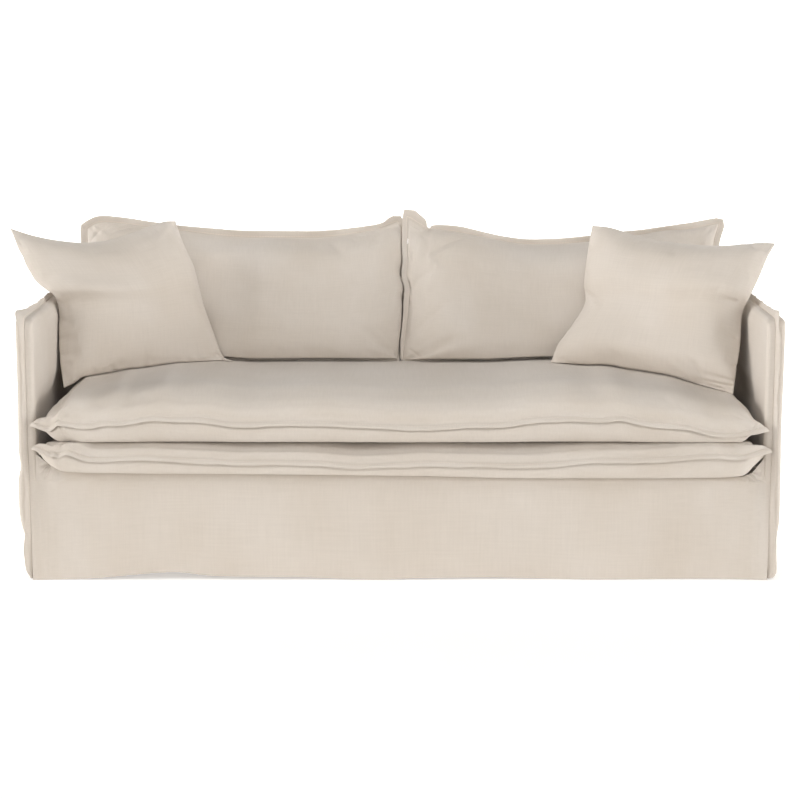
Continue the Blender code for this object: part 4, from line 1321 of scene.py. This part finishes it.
LEFT_FOLDS = (  # start, end, half width, depth, as seen from the front
    (-0.895, 0.850, -0.850, 0.815, 0.012, 0.0030),
    (-0.880, 0.858, -0.820, 0.835, 0.010, 0.0025),
    (-0.060, 0.836, -0.090, 0.800, 0.012, 0.0022),
    (-0.014, 0.690, -0.026, 0.640, 0.005, 0.0020),
    (-0.020, 0.520, -0.090, 0.545, 0.010, 0.0020),
    (-0.010, 0.505, -0.024, 0.530, 0.005, 0.0030),
)
RIGHT_FOLDS = (
    (0.034, 0.860, 0.062, 0.848, 0.005, 0.0030),
    (0.034, 0.788, 0.037, 0.756, 0.004, 0.0025),
    (0.024, 0.706, 0.034, 0.680, 0.004, 0.0045),
    (0.030, 0.700, 0.042, 0.660, 0.005, -0.0025),
    (0.026, 0.655, 0.032, 0.630, 0.004, 0.0035),
    (0.030, 0.520, 0.066, 0.494, 0.006, 0.0030),
    (0.060, 0.836, 0.100, 0.800, 0.012, 0.0020),
    (0.900, 0.850, 0.850, 0.815, 0.012, 0.0030),
)
for label, sides, depths, rest, spread, middle, folds in (
    ("left", BACK_LEFT, pressed_depths, left_rest, back_spread, (-0.46, 0.77, 0.68), LEFT_FOLDS),
    ("right", BACK_RIGHT, back_depths, right_rest, middle_spread, (0.48, 0.77, 0.68), RIGHT_FOLDS),
):
    piece, seam = cushion("back_cushion_" + label + "_cover", sides, stations(84, 0.55), stations(60, 0.6),
                          BACK_UP, depths, (((4, 0.5), (3.4, 0.5)),) * 2, back_settle, (0.95, 0.55))
    seam_strip("back_strip_" + label, "back_cushion_" + label + "_flange", seam, middle, BACK_UP, spread)
    swell(piece, seam, rest, slack=0.015, most=0.006)
    finish_cushion(piece, "back_cushion_" + label, folds)


# ---- Scatter cushions ------------------------------------------------------------------------
# Two big square knife-edge cushions, each of two linen panels with a plain seam and a soft filling.
# Each stands on the seat in a corner, turned inwards, leaning on the back cushion and over its arm.
SCATTER_LEFT = {
    "low": (
        (0.00, -0.913, 0.285, 0.463),
        (0.12, -0.869, 0.322, 0.476),
        (0.34, -0.779, 0.392, 0.482),
        (0.61, -0.661, 0.465, 0.488),
        (0.83, -0.569, 0.525, 0.492),
        (0.93, -0.510, 0.545, 0.496),
        (1.00, -0.466, 0.546, 0.496),
    ),
    "right": (
        (0.00, -0.466, 0.546, 0.496),
        (0.06, -0.499, 0.560, 0.507),
        (0.20, -0.526, 0.575, 0.570),
        (0.39, -0.554, 0.592, 0.647),
        (0.65, -0.583, 0.618, 0.752),
        (0.86, -0.618, 0.643, 0.827),
        (1.00, -0.639, 0.660, 0.882),
    ),
    "high": (
        (0.00, -1.071, 0.430, 0.883),
        (0.13, -1.013, 0.455, 0.861),
        (0.28, -0.948, 0.480, 0.845),
        (0.42, -0.883, 0.510, 0.836),
        (0.58, -0.812, 0.550, 0.840),
        (0.76, -0.737, 0.595, 0.862),
        (0.93, -0.671, 0.640, 0.882),
        (1.00, -0.639, 0.660, 0.882),
    ),
    "left": (
        (0.00, -0.913, 0.285, 0.463),
        (0.15, -0.928, 0.325, 0.535),
        (0.32, -0.934, 0.360, 0.615),
        (0.45, -0.937, 0.378, 0.675),
        (0.53, -0.953, 0.362, 0.710),
        (0.68, -1.003, 0.385, 0.754),
        (0.86, -1.043, 0.410, 0.826),
        (1.00, -1.071, 0.430, 0.883),
    ),
}
SCATTER_RIGHT = {
    "low": (
        (0.00, 0.414, 0.477, 0.483),
        (0.18, 0.503, 0.430, 0.485),
        (0.38, 0.610, 0.380, 0.484),
        (0.60, 0.713, 0.310, 0.478),
        (0.82, 0.813, 0.235, 0.474),
        (1.00, 0.889, 0.170, 0.463),
    ),
    "right": (
        (0.00, 0.889, 0.170, 0.463),
        (0.13, 0.898, 0.190, 0.519),
        (0.30, 0.9155, 0.245, 0.588),
        (0.48, 0.9245, 0.280, 0.666),
        (0.61, 0.943, 0.275, 0.714),
        (0.77, 0.974, 0.310, 0.768),
        (0.89, 0.996, 0.335, 0.812),
        (1.00, 1.021, 0.360, 0.849),
    ),
    "high": (
        (0.00, 0.544, 0.620, 0.873),
        (0.11, 0.595, 0.595, 0.869),
        (0.28, 0.676, 0.550, 0.848),
        (0.50, 0.782, 0.490, 0.835),
        (0.70, 0.875, 0.435, 0.835),
        (0.83, 0.937, 0.400, 0.842),
        (0.94, 0.987, 0.370, 0.850),
        (1.00, 1.021, 0.360, 0.849),
    ),
    "left": (
        (0.00, 0.414, 0.477, 0.483),
        (0.17, 0.442, 0.500, 0.548),
        (0.33, 0.483, 0.530, 0.601),
        (0.49, 0.521, 0.550, 0.661),
        (0.61, 0.518, 0.570, 0.710),
        (0.84, 0.531, 0.600, 0.806),
        (1.00, 0.544, 0.620, 0.873),
    ),
}


ARM_INSIDE = 0.940
OVER_ARM = 0.715
SCATTER_CLEAR = 0.0018


def scatter_rest(x, y, z, side=0):
    """A scatter cushion stands on the seat, inside the arm below its top and over the arm above it."""
    z = max(z, seat_height(x, y) + SCATTER_CLEAR)
    if abs(x) > ARM_INSIDE and z < OVER_ARM:
        if OVER_ARM - z < abs(x) - ARM_INSIDE:
            z = OVER_ARM
        else:
            x = math.copysign(ARM_INSIDE, x)
    return x, y, z


def scatter_depths(u, v):
    """How far a scatter cushion's front and back panels swell from its seam."""
    return 0.078 + 0.003 * math.sin(6 * u + 4 * v), 0.062


LEFT_CREASES = (  # start, end, half width, depth, as seen from the front
    (-0.944, 0.690, -0.905, 0.672, 0.010, 0.0060),
    (-0.938, 0.640, -0.890, 0.630, 0.012, 0.0050),
    (-0.930, 0.590, -0.880, 0.595, 0.012, 0.0050),
    (-0.926, 0.545, -0.870, 0.560, 0.012, 0.0040),
    (-0.780, 0.484, -0.800, 0.512, 0.010, 0.0060),
    (-0.700, 0.490, -0.715, 0.510, 0.010, 0.0040),
    (-0.500, 0.500, -0.520, 0.520, 0.006, 0.0050),
    (-0.900, 0.845, -0.860, 0.810, 0.016, 0.0030),
    (-0.640, 0.870, -0.670, 0.820, 0.014, 0.0030),
)
RIGHT_CREASES = (
    (0.520, 0.695, 0.560, 0.672, 0.009, 0.0090),
    (0.470, 0.600, 0.486, 0.640, 0.008, 0.0040),
    (0.480, 0.490, 0.520, 0.505, 0.010, 0.0040),
    (0.560, 0.490, 0.600, 0.500, 0.010, 0.0040),
    (0.905, 0.700, 0.860, 0.712, 0.008, 0.0070),
    (0.905, 0.610, 0.860, 0.640, 0.014, 0.0040),
    (0.890, 0.500, 0.800, 0.515, 0.009, 0.0050),
    (0.885, 0.485, 0.790, 0.495, 0.008, 0.0050),
    (0.860, 0.476, 0.780, 0.486, 0.007, 0.0040),
    (0.900, 0.535, 0.870, 0.560, 0.009, 0.0050),
)
for label, sides, up, folds in (
    ("left", SCATTER_LEFT, unit((0.534, -0.750, 0.390)), LEFT_CREASES),
    ("right", SCATTER_RIGHT, unit((-0.463, -0.747, 0.477)), RIGHT_CREASES),
):
    piece, seam = cushion("scatter_cushion_" + label + "_cover", sides, stations(66, 0.55),
                          stations(66, 0.6), up, scatter_depths, (((2.6, 0.62), (2.6, 0.62)),) * 2,
                          scatter_rest, (0.50, 0.50))
    swell(piece, seam, scatter_rest, slack=0.015, most=0.006)
    finish_cushion(piece, "scatter_cushion_" + label, folds)
